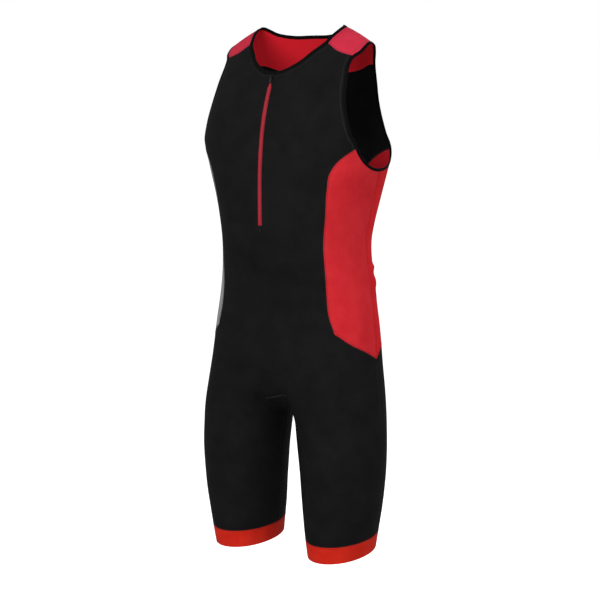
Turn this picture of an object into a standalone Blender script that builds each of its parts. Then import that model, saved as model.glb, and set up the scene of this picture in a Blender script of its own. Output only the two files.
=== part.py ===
"""Sleeveless, short-legged triathlon suit, filled out as it is worn, with no wearer in it.

Metres, +Z up, the front faces -Y and the wearer's left is +X. The origin is the middle of
the line between the two shoulder straps, where the wearer's shoulders carry the suit.

One garment surface carries every cloth piece. A place on it is an angle and a level:
the angle runs round the body in degrees (0 centre front, 90 side seam, 180 centre back,
and 180 to 360 back to the front between the legs), and the level runs down it
(1 shoulder ridge, 0 chest line, -1 hip line, -2 thigh line, -3 hem).
Each half of the suit is cut into four-sided blocks whose edges are the seams, the other
half is its mirror image, and each piece is a wall on its own blocks.
"""

import bmesh
import bpy
import numpy as np
from mathutils import Matrix, Vector

# ---- levels (heights in metres) ----
CHEST_HEIGHT = -0.180       # where the shoulder arches begin
HIP_HEIGHT = -0.555         # where the body divides into two legs
THIGH_HEIGHT = -0.667       # first full ring of each leg
HEM_HEIGHT = -0.893
CROTCH_HEIGHT = -0.639
BAND_HEIGHT = 0.030         # height of the elastic leg band

# ---- cloth (metres) ----
CLOTH = 0.0016              # wall of the knit panels
BINDING_WALL = 0.0022
SEAM_DRAW_IN = 0.00016      # each piece stops this far short of its seam line
ARM_BINDING_WIDTH = 0.0058
NECK_BINDING_WIDTH = 0.0068

# ---- body sections: height, half breadth, then front, side and back places in depth ----
TORSO = np.array([
    # height  breadth  front    side     back
    (-0.140, 0.1625, -0.1225, -0.0050, 0.1085),
    (-0.180, 0.1670, -0.1300, -0.0030, 0.1117),
    (-0.220, 0.1565, -0.1335, 0.0020, 0.1051),
    (-0.280, 0.1386, -0.1340, 0.0090, 0.0996),
    (-0.350, 0.1274, -0.1290, 0.0067, 0.0814),
    (-0.420, 0.1370, -0.1121, 0.0068, 0.0722),
    (-0.490, 0.1488, -0.1087, 0.0026, 0.0747),
    (-0.580, 0.1588, -0.1139, -0.0062, 0.0875),
])
SQUARENESS = 0.04           # share of a third wave that squares the oval sections

# ---- leg sections: height, centre, half width and half depth ----
LEGS = np.array([
    # height  centre_x centre_y  width   depth
    (-0.660, 0.0942, -0.0156, 0.0773, 0.0876),
    (-0.720, 0.0985, -0.0156, 0.0733, 0.0884),
    (-0.780, 0.0992, -0.0133, 0.0679, 0.0878),
    (-0.840, 0.0971, -0.0110, 0.0605, 0.0853),
    (-0.905, 0.0951, -0.0076, 0.0504, 0.0800),
])
HEM_TILT = 0.056            # rise of the hem per metre of depth
LEG_FRONT = -38.0           # turn of the leg ring, in degrees, that meets the centre front
CROTCH_SQUARENESS = 0.6     # power that squares the half oval between the legs
CROTCH_OPENING = 0.3        # power of the turn from straight down to straight out
CROTCH_SWING = 1.6          # reach outwards, in spans, of the line under the crotch
CROTCH_SETTLE = 0.6         # reach upwards, in spans, of the same line at the thigh

# ---- shoulder arches ----
RIDGE_TOP = 0.0316          # height that the shoulder line would have at the centre
RIDGE_FALL = 2.5            # fall of the shoulder line per square metre outwards
RIDGE_DEPTH = 0.003
# Handles of the arch curve, as shares of its rise and depth: the lift at the chest and the
# reach at the ridge, each at the centre of the body and then at the side.
FRONT_LIFT, FRONT_REACH = (0.64, -0.18), (0.14, 0.76)
BACK_LIFT, BACK_REACH = (0.38, 0.30), (0.16, 0.40)

# ---- seams: tables of (angle, level), smooth through every row ----
NECK_FRONT = np.array([
    # angle  level      from the shoulder ridge down to the top of the zip
    (27.9, 1.000),
    (27.8, 0.920),
    (26.6, 0.795),
    (24.8, 0.702),
    (23.7, 0.639),          # row 4: inner end of the front yoke seam
    (22.0, 0.592),
    (18.6, 0.518),
    (13.7, 0.418),
    (8.7, 0.356),
    (4.5, 0.325),
    (1.5, 0.316),
])
NECK_BACK = np.array([
    # angle  level      from the shoulder ridge to the centre back
    (152.1, 1.000),
    (153.6, 0.952),
    (155.8, 0.858),         # row 2: strap and back parts of the yoke meet here
    (161.3, 0.748),
    (171.6, 0.686),
    (180.0, 0.678),
])
ARMHOLE_FRONT = np.array([
    # angle  level      from the shoulder ridge down to the side seam
    (47.4, 1.000),
    (47.4, 0.860),
    (45.6, 0.753),
    (41.8, 0.681),          # row 3: outer end of the front yoke seam
    (40.3, 0.605),
    (41.4, 0.492),
    (43.1, 0.382),
    (45.3, 0.312),
    (49.3, 0.217),
    (55.4, 0.065),
    (60.0, -0.031),         # row 10: top corner of the side panel
    (66.3, -0.075),
    (74.4, -0.110),
    (83.6, -0.130),
    (90.0, -0.133),
])
ARMHOLE_BACK = np.array([
    # angle  level      from the shoulder ridge down to the side seam
    (132.6, 1.000),
    (131.8, 0.921),
    (134.9, 0.780),
    (141.7, 0.587),         # row 3: outer end of the rear yoke seam
    (144.2, 0.462),
    (146.3, 0.295),
    (143.9, 0.140),
    (137.2, 0.006),
    (130.4, -0.037),        # row 8: top corner of the side panel
    (117.0, -0.095),
    (103.5, -0.121),
    (90.0, -0.133),
])
YOKE_FRONT = np.array([(23.7, 0.639), (29.9, 0.629), (36.8, 0.653), (41.8, 0.681)])
YOKE_BACK = np.array([
    # angle  level      from the armhole in to the centre back
    (141.7, 0.587),
    (145.2, 0.572),
    (148.6, 0.545),
    (152.2, 0.515),
    (156.6, 0.486),
    (161.5, 0.464),
    (167.5, 0.450),
    (173.5, 0.443),
    (180.0, 0.441),
])
SIDE_EDGE = np.array([
    # angle  level      front edge of the side panel
    (60.0, -0.031),
    (53.5, -0.058),
    (47.2, -0.098),
    (44.3, -0.140),
    (45.0, -0.215),
    (47.6, -0.372),         # row 5: level with the foot of the zip
    (46.6, -0.500),
    (43.2, -0.650),
    (42.6, -0.774),
    (46.1, -0.854),         # row 9: bottom corner of the side panel
])
REAR_EDGE = np.array([
    # angle  level      rear edge of the side panel, which sweeps in below the armhole
    (130.4, -0.037),
    (139.5, -0.050),
    (148.3, -0.083),
    (153.4, -0.128),
    (153.0, -0.215),
    (147.0, -0.372),
    (141.5, -0.500),
    (138.5, -0.650),
    (137.6, -0.780),
    (133.9, -0.854),
])
SIDE_FOOT = np.array([(46.1, -0.854), (60.5, -0.9055), (75.0, -0.942), (90.0, -0.984)])

# Cloth stretched over the front of the crotch lies smooth: where, how far and how much.
CROTCH_FRONT = np.array([0.0, -0.100, -0.595])
CROTCH_REACH = np.array([0.040, 0.050, 0.042])
CROTCH_PASSES = 5

BELLY_LEVEL = -0.880        # level of the belly line and the seat line
BACK_CHEST_LEVEL = 0.060    # level of the back's chest line at the centre

# Rows of these tables where another seam meets.
NECK_AT_YOKE, NECK_AT_STRAP = 4, 2
ARM_AT_YOKE = 3
FRONT_ARM_AT_PANEL, BACK_ARM_AT_PANEL = 10, 8
SIDE_AT_ZIP_FOOT = 5

# ---- zip ----
ZIP_FOOT_LEVEL = -0.372
ZIP_HALF_WIDTH = 0.0038
ZIP_LEVELS = (0.316, 0.276, 0.200, 0.100, -0.031)
SLIDER_LEVEL = 0.3035
SLIDER_SIZE = (0.0054, 0.0070, 0.0017)      # across, along, thick
BAIL_OPENING = 0.0024
BAIL_WALL = 0.0007
BAIL_ACROSS = 0.0014
PULL_SIZE = (0.0042, 0.0130, 0.0011)        # across, along, thick
PULL_WINDOW = (0.0026, 0.0026)              # across, along
PULL_BAR = 0.0010                           # bar of the pull that runs through the bail
PULL_TIP_LEVEL = 0.268
PULL_TIP_LIFT = 0.0016                      # height of the tip's middle above the zip
TOUCHING_GAP = 0.0003
SLIDER_BEVEL = 0.0005
PULL_TIP_SHARE = 0.36       # half width of the pull's tip as a share of its width
SAME_POINT = 2e-6           # points nearer than this are one

# ---- number of cells along the edges of the blocks ----
CHEST_COLUMNS = 8
SIDE_COLUMNS = 4
YOKE_ROWS = 3
NECKLINE_ROWS = 5
ARMHOLE_BACK_ROWS = 8
UPPER_SIDE_ROWS = 4
LOWER_SIDE_ROWS = 5
HIP_ROWS = 2
LEG_ROWS = 5
FORK_LEVELS = (-1.0, -1.25, -1.45, -1.65, -1.85, -2.0)
INNER_FRONT_ANGLES = (270.0, 286.0, 302.0, 318.6, 338.0, 360.0)
GUSSET_COLUMNS = 3          # inner columns next to the inseam that belong to the gusset
GUSSET_ROWS = 1

MATERIALS = {
    # piece family: (colour, roughness, metallic)
    "black": ((0.012, 0.012, 0.013), 0.62, 0.0),
    "red": ((0.45, 0.022, 0.026), 0.60, 0.0),
    "grey": ((0.42, 0.42, 0.43), 0.62, 0.0),
    "band": ((0.58, 0.022, 0.012), 0.58, 0.0),
    "zip": ((0.25, 0.012, 0.018), 0.45, 0.0),
    "metal": ((0.02, 0.02, 0.022), 0.35, 0.8),
}


# ---------------------------------------------------------------- garment surface

def read_sections(table, height):
    """Values of a section table at the heights given: a cubic through its rows."""
    rows = table[::-1]
    at, values = rows[:, 0], rows[:, 1:]
    step = np.diff(at)[:, None]
    rate = np.diff(values, axis=0) / step
    slope = np.vstack([rate[:1], (rate[:-1] * step[1:] + rate[1:] * step[:-1])
                       / (step[1:] + step[:-1]), rate[-1:]])
    height = np.clip(np.asarray(height, float), at[0], at[-1])
    row = np.clip(np.searchsorted(at, height) - 1, 0, len(at) - 2)
    width = (at[row + 1] - at[row])[..., None]
    t = (height - at[row])[..., None] / width
    return (values[row] * (2 * t ** 3 - 3 * t ** 2 + 1)
            + slope[row] * width * (t ** 3 - 2 * t ** 2 + t)
            + values[row + 1] * (3 * t ** 2 - 2 * t ** 3)
            + slope[row + 1] * width * (t ** 3 - t ** 2))


def torso(angle, height):
    """Oval section of the body: a sine and a cosine squared up by a little third wave."""
    breadth, front, side, back = np.moveaxis(read_sections(TORSO, height), -1, 0)
    across = (np.sin(angle) + SQUARENESS * np.sin(3 * angle)) / (1 - SQUARENESS)
    along = (np.cos(angle) - SQUARENESS * np.cos(3 * angle)) / (1 - SQUARENESS)
    depth = np.where(np.cos(angle) > 0, side + (front - side) * along,
                     side - (back - side) * along)
    return np.stack([breadth * across, depth, height + 0 * breadth], -1)


def arch(angle, rise):
    """Shoulder arch: a cubic curve from the chest line (rise 0) to the ridge (rise 1)."""
    step = 0.002
    level = np.full_like(angle, CHEST_HEIGHT)
    foot = torso(angle, level)
    lean = (foot - torso(angle, level - step)) / step
    across = foot[..., 0]
    top = np.stack([across, np.full_like(across, RIDGE_DEPTH),
                    RIDGE_TOP - RIDGE_FALL * across ** 2], -1)
    at_front = np.cos(angle) > 0
    side_share = np.sin(angle) ** 2
    lift, reach = (np.where(at_front, front[0] + (front[1] - front[0]) * side_share,
                            back[0] + (back[1] - back[0]) * side_share)
                   for front, back in ((FRONT_LIFT, BACK_LIFT), (FRONT_REACH, BACK_REACH)))
    low_handle = foot + lean * ((top - foot)[..., 2] * lift)[..., None]
    high_handle = top.copy()
    high_handle[..., 1] += (foot - top)[..., 1] * reach
    t = rise[..., None]
    return ((1 - t) ** 3 * foot + 3 * (1 - t) ** 2 * t * low_handle
            + 3 * (1 - t) * t ** 2 * high_handle + t ** 3 * top)


def leg_turn(angle):
    """Turn of the leg ring, in radians, for an angle round the whole suit."""
    start = np.radians(LEG_FRONT)
    stop = np.pi - start
    outside = start + (stop - start) * angle / np.pi
    inside = stop + (2 * np.pi + start - stop) * (angle - np.pi) / np.pi
    return np.where(angle <= np.pi, outside, inside)


def leg_ring(angle, height):
    """Oval section of the left leg."""
    centre_x, centre_y, width, depth = np.moveaxis(read_sections(LEGS, height), -1, 0)
    turn = leg_turn(angle)
    return np.stack([centre_x + width * np.sin(turn), centre_y - depth * np.cos(turn),
                     height + 0 * width], -1)


def fork(angle, fall):
    """From the hip line and the crotch curve (fall 0) to the thigh ring (fall 1).

    Each line down is a cubic with a set direction at both ends: straight on from the body
    outside, and out of the crotch curve, a half oval between front and back, inside.
    """
    step = 0.002
    outside = angle <= np.pi
    flank = np.clip(angle, 0, np.pi)
    level = np.full_like(angle, HIP_HEIGHT)
    hip = torso(flank, level)
    hip_way = (torso(flank, level - step) - hip) / step
    front = torso(np.zeros(1), np.full(1, HIP_HEIGHT))[0, 1]
    back = torso(np.full(1, np.pi), np.full(1, HIP_HEIGHT))[0, 1]
    share = (2 * np.pi - angle) / np.pi
    half = (back - front) / 2
    drop = HIP_HEIGHT - CROTCH_HEIGHT
    wave, swing = np.sin(np.pi * share), np.cos(np.pi * share)
    swing = np.sign(swing) * np.abs(swing) ** CROTCH_SQUARENESS
    zero = np.zeros_like(share)
    crotch = np.stack([zero, (front + back) / 2 - half * swing, HIP_HEIGHT - drop * wave], -1)
    open_out = (np.clip(wave, 0, 1) ** CROTCH_OPENING)[..., None]
    end = np.where(share < 0.5, 0.0, np.pi)
    end_way = (torso(end, level - step) - torso(end, level)) / step
    crotch_way = end_way * (1 - open_out) + np.array([1.0, 0.0, 0.0]) * open_out
    start = np.where(outside[..., None], hip, crotch)
    start_way = np.where(outside[..., None], hip_way, crotch_way)
    thigh = np.full_like(angle, THIGH_HEIGHT)
    stop = leg_ring(angle, thigh)
    stop_way = (leg_ring(angle, thigh - step) - stop) / step
    span = np.linalg.norm(stop - start, axis=-1)
    straight = HIP_HEIGHT - THIGH_HEIGHT
    share_out = np.where(outside, 0.0, open_out[..., 0])
    pull_out = (straight + (span * CROTCH_SWING - straight) * share_out)[..., None]
    pull_down = (straight + (span * CROTCH_SETTLE - straight) * share_out)[..., None]
    t = fall[..., None]
    return (start * (2 * t ** 3 - 3 * t ** 2 + 1)
            + start_way * pull_out * (t ** 3 - 2 * t ** 2 + t)
            + stop * (3 * t ** 2 - 2 * t ** 3)
            + stop_way * pull_down * (t ** 3 - t ** 2))


def lower_leg(angle, fall):
    """From the thigh ring (fall 0) to the hem (fall 1), which tilts with the depth."""
    height = THIGH_HEIGHT + (HEM_HEIGHT - THIGH_HEIGHT) * fall
    point = leg_ring(angle, height)
    hem_middle = read_sections(LEGS, HEM_HEIGHT)[1]
    point[..., 2] += HEM_TILT * (point[..., 1] - hem_middle) * fall
    return point


def surface(places):
    """Points of the left half for an array of (angle in degrees, level)."""
    places = np.asarray(places, float)
    angle = np.radians(places[..., 0])
    level = places[..., 1]
    point = np.empty(places.shape[:-1] + (3,))
    body = (level > -1) | ((level == -1) & (angle <= np.pi))
    torso_fall = CHEST_HEIGHT - HIP_HEIGHT
    parts = (
        (level > 0, lambda a, v: arch(a, v)),
        (body & (level <= 0), lambda a, v: torso(a, CHEST_HEIGHT + torso_fall * v)),
        (~body & (level >= -2), lambda a, v: fork(a, -1 - v)),
        (level < -2, lambda a, v: lower_leg(a, -2 - v)),
    )
    for here, shape in parts:
        point[here] = shape(angle[here], level[here])
    return point


# ---------------------------------------------------------------- seams and blocks

DEGREE_LENGTH = 0.0026      # rough length of one degree round the body
LEVEL_LENGTH = 0.3          # rough length of one level


def run(table, first, last, cells):
    """Even places on the smooth curve through a seam table, between two of its rows."""
    scale = np.array([DEGREE_LENGTH, LEVEL_LENGTH])
    chord = np.linalg.norm(np.diff(table, axis=0) * scale, axis=1)
    at = np.concatenate([[0.0], np.cumsum(chord)])
    rate = np.diff(table, axis=0) / chord[:, None]
    span = chord[:, None]
    middle = (rate[:-1] * span[1:] + rate[1:] * span[:-1]) / (span[1:] + span[:-1])
    slope = np.vstack([rate[:1], middle, rate[-1:]])
    where = np.linspace(at[first], at[last], cells + 1)
    row = np.clip(np.searchsorted(at, where, side="right") - 1, 0, len(at) - 2)
    width = chord[row][:, None]
    t = (where - at[row])[:, None] / width
    return (table[row] * (2 * t ** 3 - 3 * t ** 2 + 1)
            + slope[row] * width * (t ** 3 - 2 * t ** 2 + t)
            + table[row + 1] * (3 * t ** 2 - 2 * t ** 3)
            + slope[row + 1] * width * (t ** 3 - t ** 2))


def line(start, stop, cells):
    """Even places on a straight line between two places."""
    share = np.linspace(0, 1, cells + 1)[:, None]
    return np.asarray(start) * (1 - share) + np.asarray(stop) * share


def join(*curves):
    """Curves end to end, each starting where the one before stops."""
    return np.vstack([curves[0]] + [curve[1:] for curve in curves[1:]])


def mirror_back(curve):
    """The same curve on the back of the suit."""
    return np.column_stack([180.0 - curve[:, 0], curve[:, 1]])


def block(left, right, top, bottom):
    """Places between four edges: both pairs are blended and the corners' share taken off."""
    down = np.linspace(0, 1, len(left))[:, None, None]
    over = np.linspace(0, 1, len(top))[None, :, None]
    sides = (1 - over) * left[:, None] + over * right[:, None]
    ends = (1 - down) * top[None] + down * bottom[None]
    corners = ((1 - down) * ((1 - over) * top[0] + over * top[-1])
               + down * ((1 - over) * bottom[0] + over * bottom[-1]))
    return sides + ends - corners


def slit_angle(level):
    """Angle, in degrees, of the edge of the zip slit at a level."""
    width_of_one_degree = surface(np.array([[1.0, level]]))[0, 0]
    return ZIP_HALF_WIDTH / width_of_one_degree


def zip_edge():
    """Edge of the zip slit from the neck down to the foot of the zip."""
    lower = np.linspace(ZIP_LEVELS[-1], ZIP_FOOT_LEVEL, UPPER_SIDE_ROWS + 1)[1:]
    levels = np.concatenate([ZIP_LEVELS, lower])
    return np.array([(slit_angle(level), level) for level in levels])


def front_blocks(slit):
    """Blocks of the front: chest, belly, hip and leg front, from the centre outwards."""
    neck = NECK_FRONT.copy()
    neck[-1] = slit[0]
    neckline = run(neck, NECK_AT_YOKE, len(neck) - 1, NECKLINE_ROWS)
    upper_slit = slit[:len(ZIP_LEVELS)]
    armhole = run(ARMHOLE_FRONT, ARM_AT_YOKE, FRONT_ARM_AT_PANEL,
                  NECKLINE_ROWS + len(ZIP_LEVELS) - 1)
    yoke_seam = run(YOKE_FRONT, 0, len(YOKE_FRONT) - 1, CHEST_COLUMNS)
    chest_line = line(upper_slit[-1], armhole[-1], CHEST_COLUMNS)
    chest = block(join(neckline, upper_slit), armhole, yoke_seam, chest_line)
    lower_slit = slit[len(ZIP_LEVELS) - 1:]
    upper_edge = run(SIDE_EDGE, 0, SIDE_AT_ZIP_FOOT, UPPER_SIDE_ROWS)
    waist_line = line(lower_slit[-1], upper_edge[-1], CHEST_COLUMNS)
    waist = block(lower_slit, upper_edge, chest_line, waist_line)
    lower_edge = run(SIDE_EDGE, SIDE_AT_ZIP_FOOT, len(SIDE_EDGE) - 1, LOWER_SIDE_ROWS)
    centre = line((0.0, ZIP_FOOT_LEVEL), (0.0, BELLY_LEVEL), LOWER_SIDE_ROWS)
    closing = np.array([[centre[0], lower_slit[-1]], [centre[1], centre[1]]])
    centre[0] = lower_slit[-1]
    belly_line = line(centre[-1], lower_edge[-1], CHEST_COLUMNS)
    belly = block(centre, lower_edge, waist_line, belly_line)
    foot = run(SIDE_FOOT, 0, len(SIDE_FOOT) - 1, SIDE_COLUMNS)
    columns = CHEST_COLUMNS + SIDE_COLUMNS
    hip_line = line((0.0, -1.0), (90.0, -1.0), columns)
    hip = block(line(centre[-1], (0.0, -1.0), HIP_ROWS), line(foot[-1], (90.0, -1.0), HIP_ROWS),
                join(belly_line, foot), hip_line)
    outer = straight_block(hip_line[:, 0], FORK_LEVELS)
    inner = straight_block(INNER_FRONT_ANGLES, FORK_LEVELS)
    leg = [straight_block(angles, leg_levels()) for angles in (hip_line[:, 0], INNER_FRONT_ANGLES)]
    return [chest, waist, closing, belly, hip, outer, *leg, *around_gusset(inner, True)]


def back_blocks():
    """Blocks of the back, from the side inwards to the centre back."""
    yoke_seam = run(YOKE_BACK, 0, len(YOKE_BACK) - 1, CHEST_COLUMNS)
    armhole = run(ARMHOLE_BACK, ARM_AT_YOKE, BACK_ARM_AT_PANEL, ARMHOLE_BACK_ROWS)
    centre = line(yoke_seam[-1], (180.0, BACK_CHEST_LEVEL), ARMHOLE_BACK_ROWS)
    chest_line = line(armhole[-1], centre[-1], CHEST_COLUMNS)
    upper = block(armhole, centre, yoke_seam, chest_line)
    edge = back_edge()
    rows = len(edge) - 1
    middle = line(centre[-1], (180.0, BELLY_LEVEL), rows)
    belt_line = line(edge[-1], middle[-1], CHEST_COLUMNS)
    middle_back = block(edge, middle, chest_line, belt_line)
    foot = mirror_back(run(SIDE_FOOT, 0, len(SIDE_FOOT) - 1, SIDE_COLUMNS))[::-1]
    columns = CHEST_COLUMNS + SIDE_COLUMNS
    hip_line = line((90.0, -1.0), (180.0, -1.0), columns)
    seat = block(line(foot[0], (90.0, -1.0), HIP_ROWS), line(middle[-1], (180.0, -1.0), HIP_ROWS),
                 join(foot, belt_line), hip_line)
    inner_angles = [540.0 - angle for angle in INNER_FRONT_ANGLES[::-1]]
    outer = straight_block(hip_line[:, 0], FORK_LEVELS)
    inner = straight_block(inner_angles, FORK_LEVELS)
    leg = [straight_block(angles, leg_levels()) for angles in (hip_line[:, 0], inner_angles)]
    return [upper, middle_back, seat, outer, *leg, *around_gusset(inner, False)]


def back_edge():
    """Rear edge of the side panel, from the back of the armhole down."""
    return join(run(REAR_EDGE, 0, SIDE_AT_ZIP_FOOT, UPPER_SIDE_ROWS),
                run(REAR_EDGE, SIDE_AT_ZIP_FOOT, len(REAR_EDGE) - 1, LOWER_SIDE_ROWS))


def side_blocks():
    """The side panel's front and rear halves, which meet at the side seam."""
    edge = join(run(SIDE_EDGE, 0, SIDE_AT_ZIP_FOOT, UPPER_SIDE_ROWS),
                run(SIDE_EDGE, SIDE_AT_ZIP_FOOT, len(SIDE_EDGE) - 1, LOWER_SIDE_ROWS))
    top = run(ARMHOLE_FRONT, FRONT_ARM_AT_PANEL, len(ARMHOLE_FRONT) - 1, SIDE_COLUMNS)
    foot = run(SIDE_FOOT, 0, len(SIDE_FOOT) - 1, SIDE_COLUMNS)
    seam = line(top[-1], foot[-1], len(edge) - 1)
    front = block(edge, seam, top, foot)
    rear_top = run(ARMHOLE_BACK, BACK_ARM_AT_PANEL, len(ARMHOLE_BACK) - 1, SIDE_COLUMNS)[::-1]
    rear = block(seam, back_edge(), rear_top, mirror_back(foot)[::-1])
    return front, rear


def yoke_blocks():
    """Strap in front of the ridge, strap behind it, and the wide part across the back."""
    front_strap = block(run(NECK_FRONT, 0, NECK_AT_YOKE, YOKE_ROWS),
                        run(ARMHOLE_FRONT, 0, ARM_AT_YOKE, YOKE_ROWS),
                        line(NECK_FRONT[0], ARMHOLE_FRONT[0], CHEST_COLUMNS),
                        run(YOKE_FRONT, 0, len(YOKE_FRONT) - 1, CHEST_COLUMNS))
    across = line(ARMHOLE_BACK[ARM_AT_YOKE], NECK_BACK[NECK_AT_STRAP], CHEST_COLUMNS)
    rear_strap = block(run(ARMHOLE_BACK, 0, ARM_AT_YOKE, YOKE_ROWS),
                       run(NECK_BACK, 0, NECK_AT_STRAP, YOKE_ROWS),
                       line(ARMHOLE_BACK[0], NECK_BACK[0], CHEST_COLUMNS), across)
    neckline = run(NECK_BACK, NECK_AT_STRAP, len(NECK_BACK) - 1, CHEST_COLUMNS)
    seam = run(YOKE_BACK, 0, len(YOKE_BACK) - 1, CHEST_COLUMNS)
    wide = block(across[::-1], line(neckline[-1], seam[-1], CHEST_COLUMNS), neckline, seam)
    return [front_strap, rear_strap, wide]


def straight_block(angles, levels):
    """Places at every level and angle given."""
    angles, levels = np.meshgrid(angles, levels)
    return np.stack([angles, levels], -1)


def leg_levels():
    """Levels of the leg's rows from the thigh line to the top of the band."""
    return np.linspace(-2.0, band_level(), LEG_ROWS + 1)


def band_level():
    """Level of the seam on top of the leg band."""
    return -3.0 + BAND_HEIGHT / (THIGH_HEIGHT - HEM_HEIGHT)


def around_gusset(inner, inseam_first):
    """The inner leg block without the gusset's cells: the part beside it and the part below."""
    beside = slice(GUSSET_COLUMNS, None) if inseam_first else slice(None, -GUSSET_COLUMNS)
    under = slice(None, GUSSET_COLUMNS + 1) if inseam_first else slice(-GUSSET_COLUMNS - 1, None)
    return [inner[:, beside], inner[GUSSET_ROWS:, under]]


def gusset_blocks():
    """The gusset's half: the cells beside the crotch curve on both sides of the inseam."""
    rear = [540.0 - angle for angle in INNER_FRONT_ANGLES[GUSSET_COLUMNS:0:-1]]
    angles = rear + list(INNER_FRONT_ANGLES[:GUSSET_COLUMNS + 1])
    return [straight_block(angles, FORK_LEVELS[:GUSSET_ROWS + 1])]


def band_blocks():
    """The elastic band round the leg end, one closed ring."""
    columns = CHEST_COLUMNS + SIDE_COLUMNS
    outer = np.linspace(0, 180, 2 * columns + 1)
    inner_back = [540.0 - angle for angle in INNER_FRONT_ANGLES[::-1]]
    angles = np.concatenate([outer, inner_back[1:], INNER_FRONT_ANGLES[1:]])
    return [straight_block(angles, (band_level(), -3.0))]


# ---------------------------------------------------------------- whole shell

def cut_plan():
    """Every cloth piece with its blocks on the left (1) and right (-1) half."""
    slit = zip_edge()
    side_front, side_back = side_blocks()
    both = {"front": front_blocks(slit), "back": back_blocks(), "yoke": yoke_blocks(),
            "crotch_gusset": gusset_blocks()}
    plan = [(name, side, places) for name, group in both.items() for side in (1, -1)
            for places in group]
    for side, word in ((1, "left"), (-1, "right")):
        plan.append(("side_front_" + word, side, side_front))
        plan.append(("side_back_" + word, side, side_back))
        plan += [("leg_band_" + word, side, places) for places in band_blocks()]
    tape = np.stack([np.column_stack([0 * slit[:, 0], slit[:, 1]]), slit], 1)
    plan += [("zip_tape", side, tape) for side in (1, -1)]
    return plan


def weave_shell(plan):
    """All blocks as one mesh with shared corners: points, cells and each cell's piece."""
    points, cells, names = [], [], []
    count = 0
    for name, side, places in plan:
        grid = surface(places) * np.array([side, 1, 1])
        rows, columns = grid.shape[:2]
        index = np.arange(rows * columns).reshape(rows, columns) + count
        quad = np.stack([index[:-1, :-1], index[1:, :-1], index[1:, 1:], index[:-1, 1:]], -1)
        quad = quad.reshape(-1, 4)
        cells.append(quad if side > 0 else quad[:, ::-1])
        names += [name] * len(quad)
        points.append(grid.reshape(-1, 3))
        count += rows * columns
    points, cells = np.vstack(points), np.vstack(cells)
    keys = np.round(points / SAME_POINT) + 0.0
    _, first, same = np.unique(keys, axis=0, return_index=True, return_inverse=True)
    return points[first], same.reshape(-1)[cells], np.array(names)


def eased(points, cells, middle, reach, passes):
    """Points near a middle drawn towards the mean of their neighbours, pass by pass."""
    share = np.exp(-(np.linalg.norm((points - middle) / reach, axis=1)) ** 2)[:, None] / 2
    starts, stops = cells.ravel(), np.roll(cells, -1, axis=1).ravel()
    real = starts != stops
    ends = np.concatenate([starts[real], stops[real]])
    others = np.concatenate([stops[real], starts[real]])
    count = np.bincount(ends, minlength=len(points))[:, None]
    for _ in range(passes):
        mean = np.stack([np.bincount(ends, points[others, axis], len(points))
                         for axis in range(3)], -1) / count
        points = points + (mean - points) * share
    return points


def corner_normals(points, cells):
    """Outward direction at each point: the area-weighted mean of its cells' normals."""
    normals = np.zeros_like(points)
    across = points[cells[:, 2]] - points[cells[:, 0]]
    down = points[cells[:, 3]] - points[cells[:, 1]]
    facing = np.cross(across, down)
    for corner in range(4):
        np.add.at(normals, cells[:, corner], facing)
    return normals / np.linalg.norm(normals, axis=1, keepdims=True)


def trimmed_faces(cells):
    """Cells as faces, with a repeated corner dropped."""
    faces = []
    for cell in cells:
        face = [corner for place, corner in enumerate(cell) if corner != cell[place - 1]]
        faces.append(face)
    return faces


def border_edges(faces):
    """Edges used once, in the direction of their face."""
    directed = {(face[place - 1], face[place]) for face in faces for place in range(len(face))}
    return [edge for edge in directed if (edge[1], edge[0]) not in directed]


def draw_in(points, normals, borders, distance):
    """Border points moved into the piece along the cloth, square to both border edges."""
    moved = points.copy()
    inwards = {}
    for start, stop in borders:
        way = points[stop] - points[start]
        for corner in (start, stop):
            inward = np.cross(normals[corner], way)
            inwards.setdefault(corner, []).append(inward / np.linalg.norm(inward))
    for corner, ways in inwards.items():
        total = np.sum(ways, axis=0)
        total *= 1.0 / max(np.dot(total, total) / len(ways), 0.5)
        moved[corner] += total * distance
    return moved


def wall(name, points, normals, faces, thickness, material, outward=0.0):
    """A closed wall: the faces moved out, their copy moved in, and a rim round the border."""
    used = sorted({corner for face in faces for corner in face})
    place = {corner: number for number, corner in enumerate(used)}
    borders = border_edges(faces)
    points = draw_in(points, normals, borders, SEAM_DRAW_IN)
    outer = points[used] + normals[used] * outward
    inner = points[used] + normals[used] * (outward - thickness)
    count = len(used)
    mesh_faces = [[place[corner] for corner in face] for face in faces]
    mesh_faces += [[place[corner] + count for corner in reversed(face)] for face in faces]
    mesh_faces += [[place[stop], place[start], place[start] + count, place[stop] + count]
                   for start, stop in borders]
    return new_object(name, np.vstack([outer, inner]), mesh_faces, material)


def new_object(name, points, faces, material):
    """A mesh object with its own material."""
    mesh = bpy.data.meshes.new(name)
    mesh.from_pydata([tuple(point) for point in points], [], faces)
    mesh.update()
    shape = bpy.data.objects.new(name, mesh)
    bpy.context.scene.collection.objects.link(shape)
    mesh.materials.append(new_material(name, material))
    return shape


def new_material(name, family):
    """A Principled material for one piece."""
    colour, roughness, metallic = MATERIALS[family]
    material = bpy.data.materials.new(name)
    material.use_nodes = True
    shader = material.node_tree.nodes["Principled BSDF"]
    shader.inputs["Base Color"].default_value = (*colour, 1.0)
    shader.inputs["Roughness"].default_value = roughness
    shader.inputs["Metallic"].default_value = metallic
    return material


# ---------------------------------------------------------------- bindings

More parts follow.
